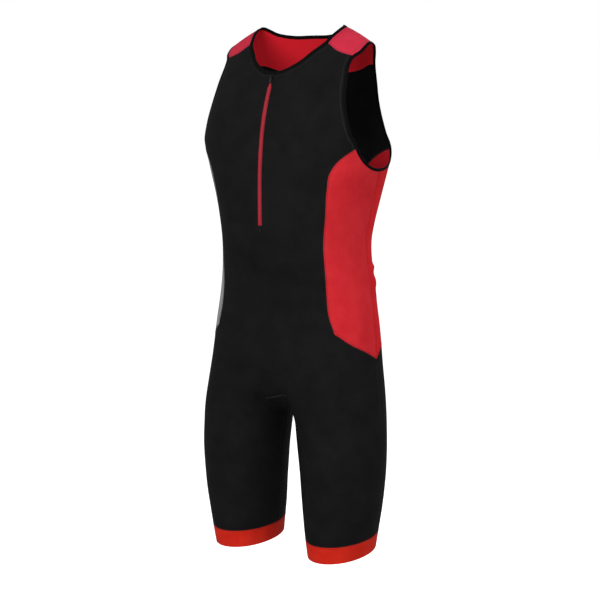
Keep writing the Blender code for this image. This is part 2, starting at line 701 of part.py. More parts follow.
def opening_paths(points, cells):
    """Seam lines of the neck and the two armholes as lists of points."""
    follow = dict(border_edges(trimmed_faces(cells)))
    paths = {}
    starts = {
        "neck_binding": surface(np.array([[180.0, NECK_BACK[-1, 1]]]))[0],
        "armhole_binding_left": surface(ARMHOLE_FRONT[-1:])[0],
        "armhole_binding_right": surface(ARMHOLE_FRONT[-1:])[0] * np.array([-1, 1, 1]),
    }
    for name, start in starts.items():
        near = min(follow, key=lambda corner: np.linalg.norm(points[corner] - start))
        path = [near]
        while len(path) == 1 or path[-1] != near:
            path.append(follow[path[-1]])
        paths[name] = path
    return paths


def binding(name, points, normals, width):
    """Folded tape round an opening: a flat band carried along the seam line, beyond it.

    A path whose ends meet makes a ring, any other path a strip with two ends.
    """
    ring = np.allclose(points[0], points[-1])
    if ring:
        points, normals = points[:-1], normals[:-1]
        ahead = np.roll(points, -1, axis=0) - np.roll(points, 1, axis=0)
    else:
        ahead = np.gradient(points, axis=0)
    out = np.cross(ahead, normals)
    out /= np.linalg.norm(out, axis=1, keepdims=True)
    middle = points - normals * CLOTH / 2
    half = normals * BINDING_WALL / 2
    near, far = middle + out * SEAM_DRAW_IN, middle + out * width
    corners = np.vstack([near + half, far + half, far - half, near - half])
    count = len(points)
    steps = [(place, (place + 1) % count) for place in range(count if ring else count - 1)]
    faces = [[side * count + here, (side + 1) % 4 * count + here,
              (side + 1) % 4 * count + after, side * count + after]
             for side in range(4) for here, after in steps]
    if not ring:
        first, last = np.arange(4) * count, np.arange(4) * count + count - 1
        faces += [list(first[::-1]), list(last)]
    return new_object(name, corners, faces, "black")


def neck_strip(points, normals):
    """The neck seam as a strip that starts and stops beside the middle of the zip."""
    start = np.argmin(np.where(np.abs(points[:-1, 0]) < 1e-6, points[:-1, 1], 1.0))
    order = np.roll(np.arange(len(points) - 1), -start)
    strip, facing = points[order], normals[order]
    strip, facing = np.vstack([strip, strip[:1]]), np.vstack([facing, facing[:1]])
    for end, beside in ((0, 1), (-1, -2)):
        way = strip[beside] - strip[end]
        strip[end] += way / np.linalg.norm(way) * SEAM_DRAW_IN
    return strip, facing


# ---------------------------------------------------------------- zip slider and pull

def zip_point(level):
    """Point on the middle of the zip at a level."""
    return Vector(surface(np.array([[0.0, level]]))[0])


def zip_turn(down):
    """Directions on the zip: across is -X, along runs down it, and out is square to both."""
    across, along = Vector((-1.0, 0.0, 0.0)), down.normalized()
    return Matrix((across, along, across.cross(along))).transposed()


def slider_place():
    """Place and directions of the slider, flat on the zip."""
    step = 0.01
    down = zip_point(SLIDER_LEVEL - step) - zip_point(SLIDER_LEVEL + step)
    return zip_point(SLIDER_LEVEL), zip_turn(down)


def pull_place(origin, turn):
    """Place and directions of the pull: from the bail, down to its tip that rests on the zip."""
    hinge = origin + turn @ Vector((0, 0, TOUCHING_GAP + SLIDER_SIZE[2] + BAIL_OPENING / 2))
    tip = zip_point(PULL_TIP_LEVEL) + turn @ Vector((0, 0, PULL_TIP_LIFT))
    return hinge, zip_turn(tip - hinge)


def ring_prism(name, outer, inner, low, high, flat_axis, material):
    """A plate with a window: the band between two closed outlines, given thickness."""
    count = len(outer)
    layers = []
    for depth in (low, high):
        for outline in (outer, inner):
            layers.append([place_on_axis(point, depth, flat_axis) for point in outline])
    faces = []
    for place in range(count):
        after = (place + 1) % count
        corner = [[layer * count + place, layer * count + after] for layer in range(4)]
        faces.append([corner[0][0], corner[1][0], corner[1][1], corner[0][1]])
        faces.append([corner[2][0], corner[2][1], corner[3][1], corner[3][0]])
        faces.append([corner[0][0], corner[0][1], corner[2][1], corner[2][0]])
        faces.append([corner[1][0], corner[3][0], corner[3][1], corner[1][1]])
    shape = new_object(name, [point for layer in layers for point in layer], faces, material)
    face_outwards(shape)
    return shape


def place_on_axis(point, depth, flat_axis):
    """A point of an outline with its depth along the axis that the plate is flat to."""
    first, second = point
    return (depth, first, second) if flat_axis == "X" else (first, second, depth)


def face_outwards(shape):
    """Turn every face of a closed mesh outwards."""
    mesh = bmesh.new()
    mesh.from_mesh(shape.data)
    bmesh.ops.recalc_face_normals(mesh, faces=mesh.faces)
    mesh.to_mesh(shape.data)
    mesh.free()


def rectangle(left, right, low, high):
    """Corners of a rectangle, in order."""
    return [(left, low), (right, low), (right, high), (left, high)]


def build_slider(origin, turn):
    """Slider body with the bail that carries the pull."""
    across, along, thick = SLIDER_SIZE
    mesh = bmesh.new()
    bmesh.ops.create_cube(mesh, size=1.0)
    lift = TOUCHING_GAP + thick / 2
    bmesh.ops.scale(mesh, vec=(across, along, thick), verts=mesh.verts)
    bmesh.ops.translate(mesh, vec=(0, 0, lift), verts=mesh.verts)
    bmesh.ops.bevel(mesh, geom=mesh.edges[:], offset=SLIDER_BEVEL, segments=2, affect="EDGES")
    data = bpy.data.meshes.new("zip_slider")
    mesh.to_mesh(data)
    mesh.free()
    body = bpy.data.objects.new("zip_slider", data)
    bpy.context.scene.collection.objects.link(body)
    data.materials.append(new_material("zip_slider", "metal"))
    top = TOUCHING_GAP + thick
    half = BAIL_OPENING / 2
    outer = rectangle(-half - BAIL_WALL, half + BAIL_WALL, top - BAIL_WALL,
                      top + BAIL_OPENING + BAIL_WALL)
    inner = rectangle(-half, half, top, top + BAIL_OPENING)
    bail = ring_prism("bail", outer, inner, -BAIL_ACROSS / 2, BAIL_ACROSS / 2, "X", "metal")
    bail.hide_render = True
    bail.display_type = "WIRE"
    union = body.modifiers.new("bail", "BOOLEAN")
    union.operation = "UNION"
    union.object = bail
    for shape in (body, bail):
        shape.location = origin
        shape.rotation_euler = turn.to_euler()
    return body


def build_pull(hinge, turn):
    """Pull tab: a plate with a window whose top bar runs through the bail."""
    across, along, thick = PULL_SIZE
    window_across, window_along = PULL_WINDOW
    bar = PULL_BAR / 2
    outer = [(-across / 2, -bar), (across / 2, -bar), (across / 2, bar),
             (across / 2, bar + window_along), (across * PULL_TIP_SHARE, along - bar),
             (-across * PULL_TIP_SHARE, along - bar), (-across / 2, bar + window_along),
             (-across / 2, bar)]
    side = window_across / 2
    third = window_along / 3
    inner = [(-side, bar), (side, bar), (side, bar + third), (side, bar + 2 * third),
             (side, bar + window_along), (-side, bar + window_along),
             (-side, bar + 2 * third), (-side, bar + third)]
    pull = ring_prism("zip_pull", outer, inner, -thick / 2, thick / 2, "Z", "metal")
    pull.location = hinge
    pull.rotation_euler = turn.to_euler()
    return pull


# ---------------------------------------------------------------- build

FAMILIES = {"front": "black", "back": "black", "yoke": "red", "crotch_gusset": "black",
            "side_front_left": "red", "side_back_left": "red", "side_front_right": "grey",
            "side_back_right": "grey", "leg_band_left": "band", "leg_band_right": "band",
            "zip_tape": "zip"}


def main():
    for old in list(bpy.data.objects):
        bpy.data.objects.remove(old, do_unlink=True)
    points, cells, owners = weave_shell(cut_plan())
    points = eased(points, cells, CROTCH_FRONT, CROTCH_REACH, CROTCH_PASSES)
    normals = corner_normals(points, cells)
    for name, family in FAMILIES.items():
        faces = trimmed_faces(cells[owners == name])
        wall(name, points, normals, faces, CLOTH, family)
    for name, path in opening_paths(points, cells).items():
        if name == "neck_binding":
            binding(name, *neck_strip(points[path], normals[path]), NECK_BINDING_WIDTH)
        else:
            binding(name, points[path], normals[path], ARM_BINDING_WIDTH)
    origin, turn = slider_place()
    build_slider(origin, turn)
    build_pull(*pull_place(origin, turn))


main()
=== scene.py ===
import math

import bpy
import numpy as np
from mathutils import Matrix


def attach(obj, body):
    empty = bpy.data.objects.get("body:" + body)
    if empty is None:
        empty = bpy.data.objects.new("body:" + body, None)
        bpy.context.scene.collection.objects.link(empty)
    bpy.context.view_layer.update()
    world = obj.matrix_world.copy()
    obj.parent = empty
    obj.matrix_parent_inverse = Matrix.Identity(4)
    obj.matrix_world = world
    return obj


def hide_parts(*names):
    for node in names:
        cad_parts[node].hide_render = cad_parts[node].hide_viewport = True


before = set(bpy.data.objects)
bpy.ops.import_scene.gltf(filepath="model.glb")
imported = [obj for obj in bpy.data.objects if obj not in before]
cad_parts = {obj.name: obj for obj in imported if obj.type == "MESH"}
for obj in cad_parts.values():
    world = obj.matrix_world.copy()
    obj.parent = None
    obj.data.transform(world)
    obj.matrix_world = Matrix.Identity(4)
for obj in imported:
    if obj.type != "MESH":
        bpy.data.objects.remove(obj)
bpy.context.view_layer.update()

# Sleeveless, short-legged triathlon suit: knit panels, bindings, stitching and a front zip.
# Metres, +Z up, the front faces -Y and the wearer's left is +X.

# ---- levels (heights in metres) ----
CHEST_HEIGHT = -0.180
HIP_HEIGHT = -0.555
THIGH_HEIGHT = -0.667
HEM_HEIGHT = -0.893
CROTCH_HEIGHT = -0.639
BAND_HEIGHT = 0.030

# ---- cloth (metres) ----
KNIT_WALL = 0.0011          # knit panels
BAND_WALL = 0.0015          # gripper elastic
SEAM_SINK = 0.00055         # how far the cloth is drawn in along a seam
ARM_BINDING = (0.0056, 0.0026)      # width and thickness of the folded tape
NECK_BINDING = (0.0066, 0.0028)
BINDING_TUCK = 0.0004       # how far the tape reaches back over the edge that it folds round
SAME_POINT = 2e-6           # points closer than this are one
SLOPE_STEP = 0.002          # step by which the slope of a form is felt

# Cloth stretched over the front of the crotch lies smooth: where, how far and how much.
CROTCH_FRONT = np.array([0.0, -0.100, -0.595])
CROTCH_REACH = np.array([0.040, 0.050, 0.042])
CROTCH_PASSES = 120
CROTCH_NEAR = np.array([0.060, 0.240, 0.110])   # half sizes of the zone round the gusset

FINE = 5                    # steps between neighbouring places of the cutting plan
HALVES = ((1, "left"), (-1, "right"))

# ---- body sections: height, half breadth, then front, side and back places in depth ----
TORSO = np.array([
    # height  breadth  front    side     back
    (-0.140, 0.1625, -0.1225, -0.0050, 0.1085),
    (-0.180, 0.1670, -0.1300, -0.0030, 0.1117),
    (-0.220, 0.1565, -0.1335, 0.0020, 0.1051),
    (-0.280, 0.1386, -0.1340, 0.0090, 0.0996),
    (-0.350, 0.1274, -0.1290, 0.0067, 0.0814),
    (-0.420, 0.1370, -0.1121, 0.0068, 0.0722),
    (-0.490, 0.1488, -0.1087, 0.0026, 0.0747),
    (-0.580, 0.1588, -0.1139, -0.0062, 0.0875),
])
SQUARENESS = 0.04           # share of a third wave that squares the oval sections

# ---- leg sections: height, centre, half width and half depth ----
LEGS = np.array([
    # height  centre_x centre_y  width   depth
    (-0.660, 0.0942, -0.0156, 0.0773, 0.0876),
    (-0.720, 0.0985, -0.0156, 0.0733, 0.0884),
    (-0.780, 0.0992, -0.0133, 0.0679, 0.0878),
    (-0.840, 0.0971, -0.0110, 0.0605, 0.0853),
    (-0.905, 0.0951, -0.0076, 0.0504, 0.0800),
])
HEM_TILT = 0.056            # rise of the hem per metre of depth
LEG_FRONT = -38.0           # turn of the leg ring, in degrees, that meets the centre front
CROTCH_SQUARENESS = 0.6
CROTCH_OPENING = 0.3
CROTCH_SWING = 1.6
CROTCH_SETTLE = 0.6

# ---- shoulder arches ----
RIDGE_TOP = 0.0316
RIDGE_FALL = 2.5
RIDGE_DEPTH = 0.003
FRONT_LIFT, FRONT_REACH = (0.64, -0.18), (0.14, 0.76)
BACK_LIFT, BACK_REACH = (0.38, 0.30), (0.16, 0.40)

# ---- seams: tables of (angle, level), smooth through every row ----
# The angle is 0 in front and 180 behind, and goes on to 360 round the inside of the leg. The
# level is 1 on the shoulder ridge, 0 at the chest, -1 at the hips, -2 at the thigh, -3 at the hem.
NECK_FRONT = np.array([
    (27.9, 1.000), (27.8, 0.920), (26.6, 0.795), (24.8, 0.702), (23.7, 0.639), (22.0, 0.592),
    (18.6, 0.518), (13.7, 0.418), (8.7, 0.356), (4.5, 0.325), (1.5, 0.316),
])
NECK_BACK = np.array([
    (152.1, 1.000), (153.6, 0.952), (155.8, 0.858), (161.3, 0.748), (171.6, 0.686), (180.0, 0.678),
])
ARMHOLE_FRONT = np.array([
    (47.4, 1.000), (47.4, 0.860), (45.6, 0.753), (41.8, 0.681), (40.3, 0.605), (41.4, 0.492),
    (43.1, 0.382), (45.3, 0.312), (49.3, 0.217), (55.4, 0.065), (60.0, -0.031), (66.3, -0.075),
    (74.4, -0.110), (83.6, -0.130), (90.0, -0.133),
])
ARMHOLE_BACK = np.array([
    (132.6, 1.000), (131.8, 0.921), (134.9, 0.780), (141.7, 0.587), (144.2, 0.462),
    (146.3, 0.295), (143.9, 0.140), (137.2, 0.006), (130.4, -0.037), (117.0, -0.095),
    (103.5, -0.121), (90.0, -0.133),
])
YOKE_FRONT = np.array([(23.7, 0.639), (29.9, 0.629), (36.8, 0.653), (41.8, 0.681)])
YOKE_BACK = np.array([
    (141.7, 0.587), (145.2, 0.572), (148.6, 0.545), (152.2, 0.515), (156.6, 0.486),
    (161.5, 0.464), (167.5, 0.450), (173.5, 0.443), (180.0, 0.441),
])
SIDE_EDGE = np.array([
    (60.0, -0.031), (53.5, -0.058), (47.2, -0.098), (44.3, -0.140), (45.0, -0.215),
    (47.6, -0.372), (46.6, -0.500), (43.2, -0.650), (42.6, -0.774), (46.1, -0.854),
])
REAR_EDGE = np.array([
    (130.4, -0.037), (139.5, -0.050), (148.3, -0.083), (153.4, -0.128), (153.0, -0.215),
    (147.0, -0.372), (141.5, -0.500), (138.5, -0.650), (137.6, -0.780), (133.9, -0.854),
])
SIDE_FOOT = np.array([(46.1, -0.854), (60.5, -0.9055), (75.0, -0.942), (90.0, -0.984)])
BELLY_LEVEL = -0.880        # level of the belly line and the seat line
BACK_CHEST_LEVEL = 0.060

# Rows of these tables where another seam meets.
NECK_AT_YOKE, NECK_AT_STRAP = 4, 2
ARM_AT_YOKE = 3
FRONT_ARM_AT_PANEL, BACK_ARM_AT_PANEL = 10, 8
SIDE_AT_ZIP_FOOT = 5

# ---- zip ----
ZIP_FOOT_LEVEL = -0.372
ZIP_HALF_WIDTH = 0.0038
ZIP_LEVELS = (0.316, 0.276, 0.200, 0.100, -0.031)
ZIP_OPENS = (0.272, 0.250)          # levels between which the placket opens over the zip
ZIP_CLOSED_WIDTH = 0.0005
TAPE_LINES = 4              # lines of points across each half of the tape
ZIP_MIDDLE = 0.001          # angle, in degrees, at which the zip's middle line is taken
ZIP_FOOT_SEAM = 0.030       # level that the seam under the zip runs down
NECK_START = 0.12           # angle at which the neck binding starts beside the zip
JUST = 1e-4                 # a hair's breadth in level, past a line where two forms meet

# ---- number of cells along the edges of the blocks, before they are made finer ----
CHEST_COLUMNS = 8
SIDE_COLUMNS = 4
YOKE_ROWS = 3
NECKLINE_ROWS = 5
ARMHOLE_BACK_ROWS = 8
UPPER_SIDE_ROWS = 4
LOWER_SIDE_ROWS = 5
HIP_ROWS = 2
LEG_ROWS = 4
FORK_LEVELS = (-1.0, -1.25, -1.45, -1.65, -1.85, -2.0)
INNER_FRONT_ANGLES = (270.0, 286.0, 302.0, 318.6, 338.0, 360.0)
BACK_AND_FRONT = 540.0      # an angle inside the leg and its mirror image behind add up to this
GUSSET_COLUMNS = 3
GUSSET_ROWS = 1
GUSSET_END = INNER_FRONT_ANGLES[GUSSET_COLUMNS]

# ---- creases: soft troughs (depth below 0) and ridges, in millimetres on one face ----
CREASES = np.array([
    # face  across0  height0  across1  height1  bow  width  depth
    # small of the back, gathered by the waist
    (2, 20, -404, 168, -396, 5, 4.4, 2.6),
    (2, 46, -419, 166, -417, -3, 4.2, 2.3),
    (2, 16, -433, 158, -431, 6, 5.4, 1.5),
    (2, 52, -451, 150, -443, 3, 7.0, 1.0),
    (2, -14, -409, -160, -402, 6, 4.8, 2.1),
    (2, -34, -424, -158, -420, -4, 4.6, 2.0),
    (2, -10, -439, -130, -441, 5, 6.0, 1.2),
    (2, -60, -457, -140, -448, 2, 7.0, 0.9),
    (2, -40, -392, 34, -395, -5, 7.5, 1.0),
    # seat and the backs of the thighs
    (2, 20, -640, 96, -660, -9, 8.0, -1.4),
    (2, -24, -646, -104, -661, -8, 8.5, -1.3),
    (2, 50, -700, 120, -690, -5, 9.0, -0.8),
    (2, -46, -706, -112, -700, -6, 9.0, -0.9),
    (2, 3, -560, 8, -640, 4, 9.0, -1.6),
    # front of the crotch and the tops of the thighs
    (1, -32, -590, -21, -616, 2, 5.0, -1.6),
    (1, -58, -560, -36, -604, 5, 11.0, -1.2),
    (1, 30, -604, 24, -640, -3, 8.0, -2.4),
    (1, 40, -596, 20, -630, -4, 10.0, -1.3),
    (1, -130, -512, -58, -584, 9, 14.0, -1.0),
    (1, 126, -516, 62, -582, -8, 14.0, -0.9),
    (1, 2, -500, -3, -590, 3, 15.0, -0.8),
    # across the belly and beside the zip
    (1, -92, -455, -16, -470, -7, 11.0, -0.6),
    (1, 24, -462, 88, -447, -6, 11.0, -0.6),
    (1, -60, -345, -14, -352, 4, 9.0, -0.5),
    (1, 12, -330, 56, -322, 4, 9.0, -0.5),
    # chest, pulled towards the armholes
    (1, 52, -196, 122, -168, 6, 10.0, -0.8),
    (1, 70, -214, 128, -200, 5, 9.0, -0.6),
    (1, -54, -204, -126, -178, 6, 10.0, -0.8),
    (1, -66, -226, -124, -212, 4, 9.0, -0.6),
    (1, 40, -52, 96, -76, -5, 9.0, -0.6),
    (1, -44, -58, -100, -80, -4, 9.0, -0.6),
    # upper back
    (2, 44, -150, 120, -176, 6, 11.0, -0.9),
    (2, -48, -158, -124, -182, 5, 11.0, -0.9),
    (2, -60, -92, 66, -88, -8, 14.0, -0.7),
    # sides, level with the waist
    (3, 4, -401, 84, -397, 3, 3.6, 1.9),
    (3, 8, -414, 86, -412, -2, 3.4, 1.7),
    (3, 0, -428, 80, -427, 3, 3.8, 1.5),
    (4, 8, -404, 82, -400, 3, 3.8, 1.7),
    (4, 2, -419, 80, -416, -2, 3.6, 1.5),
    (3, -44, -352, 48, -344, 5, 8.0, -0.8),
    (3, -30, -384, 58, -392, -5, 7.0, -0.9),
    (3, -52, -240, 40, -262, 6, 10.0, -0.6),
    (4, -40, -358, 50, -350, 5, 8.0, -0.8),
    (4, -26, -390, 60, -396, -4, 7.0, -0.9),
    (4, -50, -250, 36, -268, 6, 10.0, -0.6),
    # drawn towards the leg bands
    (1, 60, -815, 64, -852, 2, 6.0, -0.6),
    (1, 112, -806, 108, -854, -2, 6.5, -0.7),
    (1, -70, -812, -66, -853, 2, 6.0, -0.6),
    (1, -120, -808, -112, -852, -2, 6.5, -0.6),
    (2, 76, -800, 80, -846, 2, 6.5, -0.7),
    (2, -92, -804, -88, -848, 2, 6.5, -0.7),
    (3, 8, -802, 2, -850, 2, 7.0, -0.6),
    (4, 4, -800, 8, -850, -2, 7.0, -0.6),
])
# Slow ripple over all the cloth: its heights and the lengths of its waves, in millimetres.
RIPPLE_HEIGHTS = (0.16, 0.1)
RIPPLE_LENGTHS = ((17, 29, 21, 31), (13, 16))
EASE_POWER, SQUARE_POWER = 0.7, 0.5     # how a crease dies out at its ends and round a corner
MILLIMETRE = 0.001
# Faces of the creases: 1 front, 2 back, 3 left, 4 right: the axis across and the way they face.
FACES = {1: (0, (0, -1, 0)), 2: (0, (0, 1, 0)), 3: (1, (1, 0, 0)), 4: (1, (-1, 0, 0))}

# ---- stitching (metres); drawn about half as large again as real thread, so that it shows ----
STITCH = dict(long=0.0023, gap=0.0009, wide=0.00055)
STITCH_LIFT = 0.0001        # how far the thread's middle stands off the cloth
SEAM_ROWS = (-0.0016, 0.0016)       # rows of a flatlock seam, each side of its line
BAND_ROWS = (0.0018, -0.0018)
BAR_ROWS = (-0.0007, 0.0007)
ONE_ROW = (0.0,)
GUSSET_BAR = np.array([(-0.018, -0.084, -0.6236), (0.031, -0.099, -0.6126)])  # its front end
LAID_REACH = 0.0025         # bell curve by which a path is laid on the cloth
ZIP_STITCH = 0.0031         # rows of stitches on the zip tape, each side of its middle
INSIDE = KNIT_WALL + SEAM_SINK + 0.0001     # depth of the stitching on the inner side
TOPSTITCH_ROW = (-0.0042,)          # row beside a binding, on the panel


# ---- garment surface ----

def hermite(start, start_way, stop, stop_way, t):
    """Hermite cubic: at start with start_way where t is 0, at stop with stop_way where it is 1."""
    return (start * (2 * t ** 3 - 3 * t ** 2 + 1) + start_way * (t ** 3 - 2 * t ** 2 + t)
            + stop * (3 * t ** 2 - 2 * t ** 3) + stop_way * (t ** 3 - t ** 2))


def through(at, values, where):
    """Smooth curve through the values: cubics whose slopes are weighted means of the chords'."""
    step = np.diff(at)[:, None]
    rate = np.diff(values, axis=0) / step
    slope = np.vstack([rate[:1], (rate[:-1] * step[1:] + rate[1:] * step[:-1])
                       / (step[1:] + step[:-1]), rate[-1:]])
    where = np.clip(np.asarray(where, float), at[0], at[-1])
    row = np.clip(np.searchsorted(at, where, side="right") - 1, 0, len(at) - 2)
    width = step[row]
    t = (where - at[row])[..., None] / width
    return hermite(values[row], slope[row] * width, values[row + 1], slope[row + 1] * width, t)


def read_sections(table, height):
    """Section values at the heights given, from a table whose rows go down the body."""
    rows = table[::-1]
    return through(rows[:, 0], rows[:, 1:], height)


def torso(angle, height):
    """Oval section: x is a sine and y a cosine of the angle, squared up by a third wave."""
    breadth, front, side, back = np.moveaxis(read_sections(TORSO, height), -1, 0)
    across = (np.sin(angle) + SQUARENESS * np.sin(3 * angle)) / (1 - SQUARENESS)
    along = (np.cos(angle) - SQUARENESS * np.cos(3 * angle)) / (1 - SQUARENESS)
    depth = np.where(np.cos(angle) > 0, side + (front - side) * along,
                     side - (back - side) * along)
    return np.stack([breadth * across, depth, height + 0 * breadth], -1)


def arch(angle, rise):
    """Shoulder arch: a Bezier cubic from the chest line (rise 0) to the ridge (rise 1)."""
    level = np.full_like(angle, CHEST_HEIGHT)
    foot = torso(angle, level)
    lean = (foot - torso(angle, level - SLOPE_STEP)) / SLOPE_STEP
    across = foot[..., 0]
    top = np.stack([across, np.full_like(across, RIDGE_DEPTH),
                    RIDGE_TOP - RIDGE_FALL * across ** 2], -1)
    at_front = np.cos(angle) > 0
    side_share = np.sin(angle) ** 2
    lift, reach = (np.where(at_front, front[0] + (front[1] - front[0]) * side_share,
                            back[0] + (back[1] - back[0]) * side_share)
                   for front, back in ((FRONT_LIFT, BACK_LIFT), (FRONT_REACH, BACK_REACH)))
    low_handle = foot + lean * ((top - foot)[..., 2] * lift)[..., None]
    high_handle = top.copy()
    high_handle[..., 1] += (foot - top)[..., 1] * reach
    t = rise[..., None]
    return ((1 - t) ** 3 * foot + 3 * (1 - t) ** 2 * t * low_handle
            + 3 * (1 - t) * t ** 2 * high_handle + t ** 3 * top)


def leg_turn(angle):
    """Turn of the leg ring for an angle round the whole suit: two straight-line shares."""
    start = np.radians(LEG_FRONT)
    stop = np.pi - start
    outside = start + (stop - start) * angle / np.pi
    inside = stop + (2 * np.pi + start - stop) * (angle - np.pi) / np.pi
    return np.where(angle <= np.pi, outside, inside)


def leg_ring(angle, height):
    """Oval section of the left leg: centre plus width times sine and depth times cosine."""
    centre_x, centre_y, width, depth = np.moveaxis(read_sections(LEGS, height), -1, 0)
    turn = leg_turn(angle)
    return np.stack([centre_x + width * np.sin(turn), centre_y - depth * np.cos(turn),
                     height + 0 * width], -1)


def fork(angle, fall):
    """Hip to thigh: Hermite cubics down from the hip line and from the crotch's half oval."""
    outside = angle <= np.pi
    flank = np.clip(angle, 0, np.pi)
    level = np.full_like(angle, HIP_HEIGHT)
    hip = torso(flank, level)
    hip_way = (torso(flank, level - SLOPE_STEP) - hip) / SLOPE_STEP
    front, back = torso(np.array([0.0, np.pi]), np.full(2, HIP_HEIGHT))[:, 1]
    share = (2 * np.pi - angle) / np.pi
    half = (back - front) / 2
    drop = HIP_HEIGHT - CROTCH_HEIGHT
    wave, swing = np.sin(np.pi * share), np.cos(np.pi * share)
    swing = np.sign(swing) * np.abs(swing) ** CROTCH_SQUARENESS
    crotch = np.stack([0 * share, (front + back) / 2 - half * swing, HIP_HEIGHT - drop * wave],
                      -1)
    open_out = (np.clip(wave, 0, 1) ** CROTCH_OPENING)[..., None]
    end = np.where(share < 0.5, 0.0, np.pi)
    end_way = (torso(end, level - SLOPE_STEP) - torso(end, level)) / SLOPE_STEP
    crotch_way = end_way * (1 - open_out) + np.array([1.0, 0.0, 0.0]) * open_out
    start = np.where(outside[..., None], hip, crotch)
    start_way = np.where(outside[..., None], hip_way, crotch_way)
    thigh = np.full_like(angle, THIGH_HEIGHT)
    stop = leg_ring(angle, thigh)
    stop_way = (leg_ring(angle, thigh - SLOPE_STEP) - stop) / SLOPE_STEP
    span = np.linalg.norm(stop - start, axis=-1)
    straight = HIP_HEIGHT - THIGH_HEIGHT
    share_out = np.where(outside, 0.0, open_out[..., 0])
    pull_out, pull_down = ((straight + (span * stretch - straight) * share_out)[..., None]
                           for stretch in (CROTCH_SWING, CROTCH_SETTLE))
    return hermite(start, start_way * pull_out, stop, stop_way * pull_down, fall[..., None])


def lower_leg(angle, fall):
    """Leg rings from the thigh (fall 0) to the hem (fall 1), sheared to the hem's tilt."""
    height = THIGH_HEIGHT + (HEM_HEIGHT - THIGH_HEIGHT) * fall
    point = leg_ring(angle, height)
    hem_middle = read_sections(LEGS, HEM_HEIGHT)[1]
    point[..., 2] += HEM_TILT * (point[..., 1] - hem_middle) * fall
    return point


def surface(places):
    """Points of the left half for an array of (angle in degrees, level)."""
    places = np.asarray(places, float)
    angle = np.radians(places[..., 0])
    level = places[..., 1]
    point = np.empty(places.shape[:-1] + (3,))
    body = (level > -1) | ((level == -1) & (angle <= np.pi))
    torso_fall = CHEST_HEIGHT - HIP_HEIGHT
    parts = (
        (level > 0, arch),
        (body & (level <= 0), lambda a, v: torso(a, CHEST_HEIGHT + torso_fall * v)),
        (~body & (level >= -2), lambda a, v: fork(a, -1 - v)),
        (level < -2, lambda a, v: lower_leg(a, -2 - v)),
    )
    for here, shape in parts:
        point[here] = shape(angle[here], level[here])
    return point


def unit(vectors):
    """The vectors with their length made 1."""
    return vectors / np.linalg.norm(vectors, axis=-1, keepdims=True)


def facing(places):
    """Outward direction at places: the cross product of the steps round and up the suit."""
    turn, lift = np.array([0.05, 0.0]), np.array([0.0, -0.0005])
    round_step = surface(places + turn) - surface(places - turn)
    down_step = surface(places + lift) - surface(places)
    return unit(np.cross(down_step, round_step))


# ---- seams and blocks ----

DEGREE_LENGTH = 0.0026      # rough length of one degree round the body
LEVEL_LENGTH = 0.3          # rough length of one level


def lengths(points):
    """Length along a line at each of its points."""
    return np.concatenate([[0.0], np.cumsum(np.linalg.norm(np.diff(points, axis=0), axis=1))])


def run(table, first, last, cells):
    """Even places on the cubic through a seam table, between two of its rows."""
    scale = np.array([DEGREE_LENGTH, LEVEL_LENGTH])
    at = lengths(table * scale)
    return through(at, table, np.linspace(at[first], at[last], cells * FINE + 1))


def whole(table, cells):
    """Even places on the whole of a seam table's curve."""
    return run(table, 0, len(table) - 1, cells)


def line(start, stop, cells):
    """Even places on a straight line between two places."""
    share = np.linspace(0, 1, cells * FINE + 1)[:, None]
    return np.asarray(start) * (1 - share) + np.asarray(stop) * share


def finer(values):
    """The values with FINE even steps between neighbours."""
    steps = len(values) - 1
    return np.interp(np.linspace(0, steps, steps * FINE + 1), np.arange(steps + 1), values)


def join(*curves):
    """Curves end to end, each starting where the one before stops."""
    return np.vstack([curves[0]] + [curve[1:] for curve in curves[1:]])


def mirror_back(curve):
    """The same curve on the back of the suit: 180 degrees less its angles."""
    return np.column_stack([180.0 - curve[:, 0], curve[:, 1]])


def block(left, right, top, bottom):
    """Places between four edges: both pairs are blended and the corners' share taken off."""
    down = np.linspace(0, 1, len(left))[:, None, None]
    over = np.linspace(0, 1, len(top))[None, :, None]
    sides = (1 - over) * left[:, None] + over * right[:, None]
    ends = (1 - down) * top[None] + down * bottom[None]
    corners = ((1 - down) * ((1 - over) * top[0] + over * top[-1])
               + down * ((1 - over) * bottom[0] + over * bottom[-1]))
    return sides + ends - corners


def zip_edge():
    """Edge of the zip slit: a set half width, eased shut over the slider at the top."""
    lower = np.linspace(ZIP_LEVELS[-1], ZIP_FOOT_LEVEL, UPPER_SIDE_ROWS + 1)[1:]
    level = finer(np.concatenate([ZIP_LEVELS, lower]))
    share = np.clip((ZIP_OPENS[0] - level) / (ZIP_OPENS[0] - ZIP_OPENS[1]), 0, 1)
    half = ZIP_CLOSED_WIDTH + (ZIP_HALF_WIDTH - ZIP_CLOSED_WIDTH) * share
    one_degree = surface(np.column_stack([np.ones_like(level), level]))[:, 0]
    return np.column_stack([half / one_degree, level])


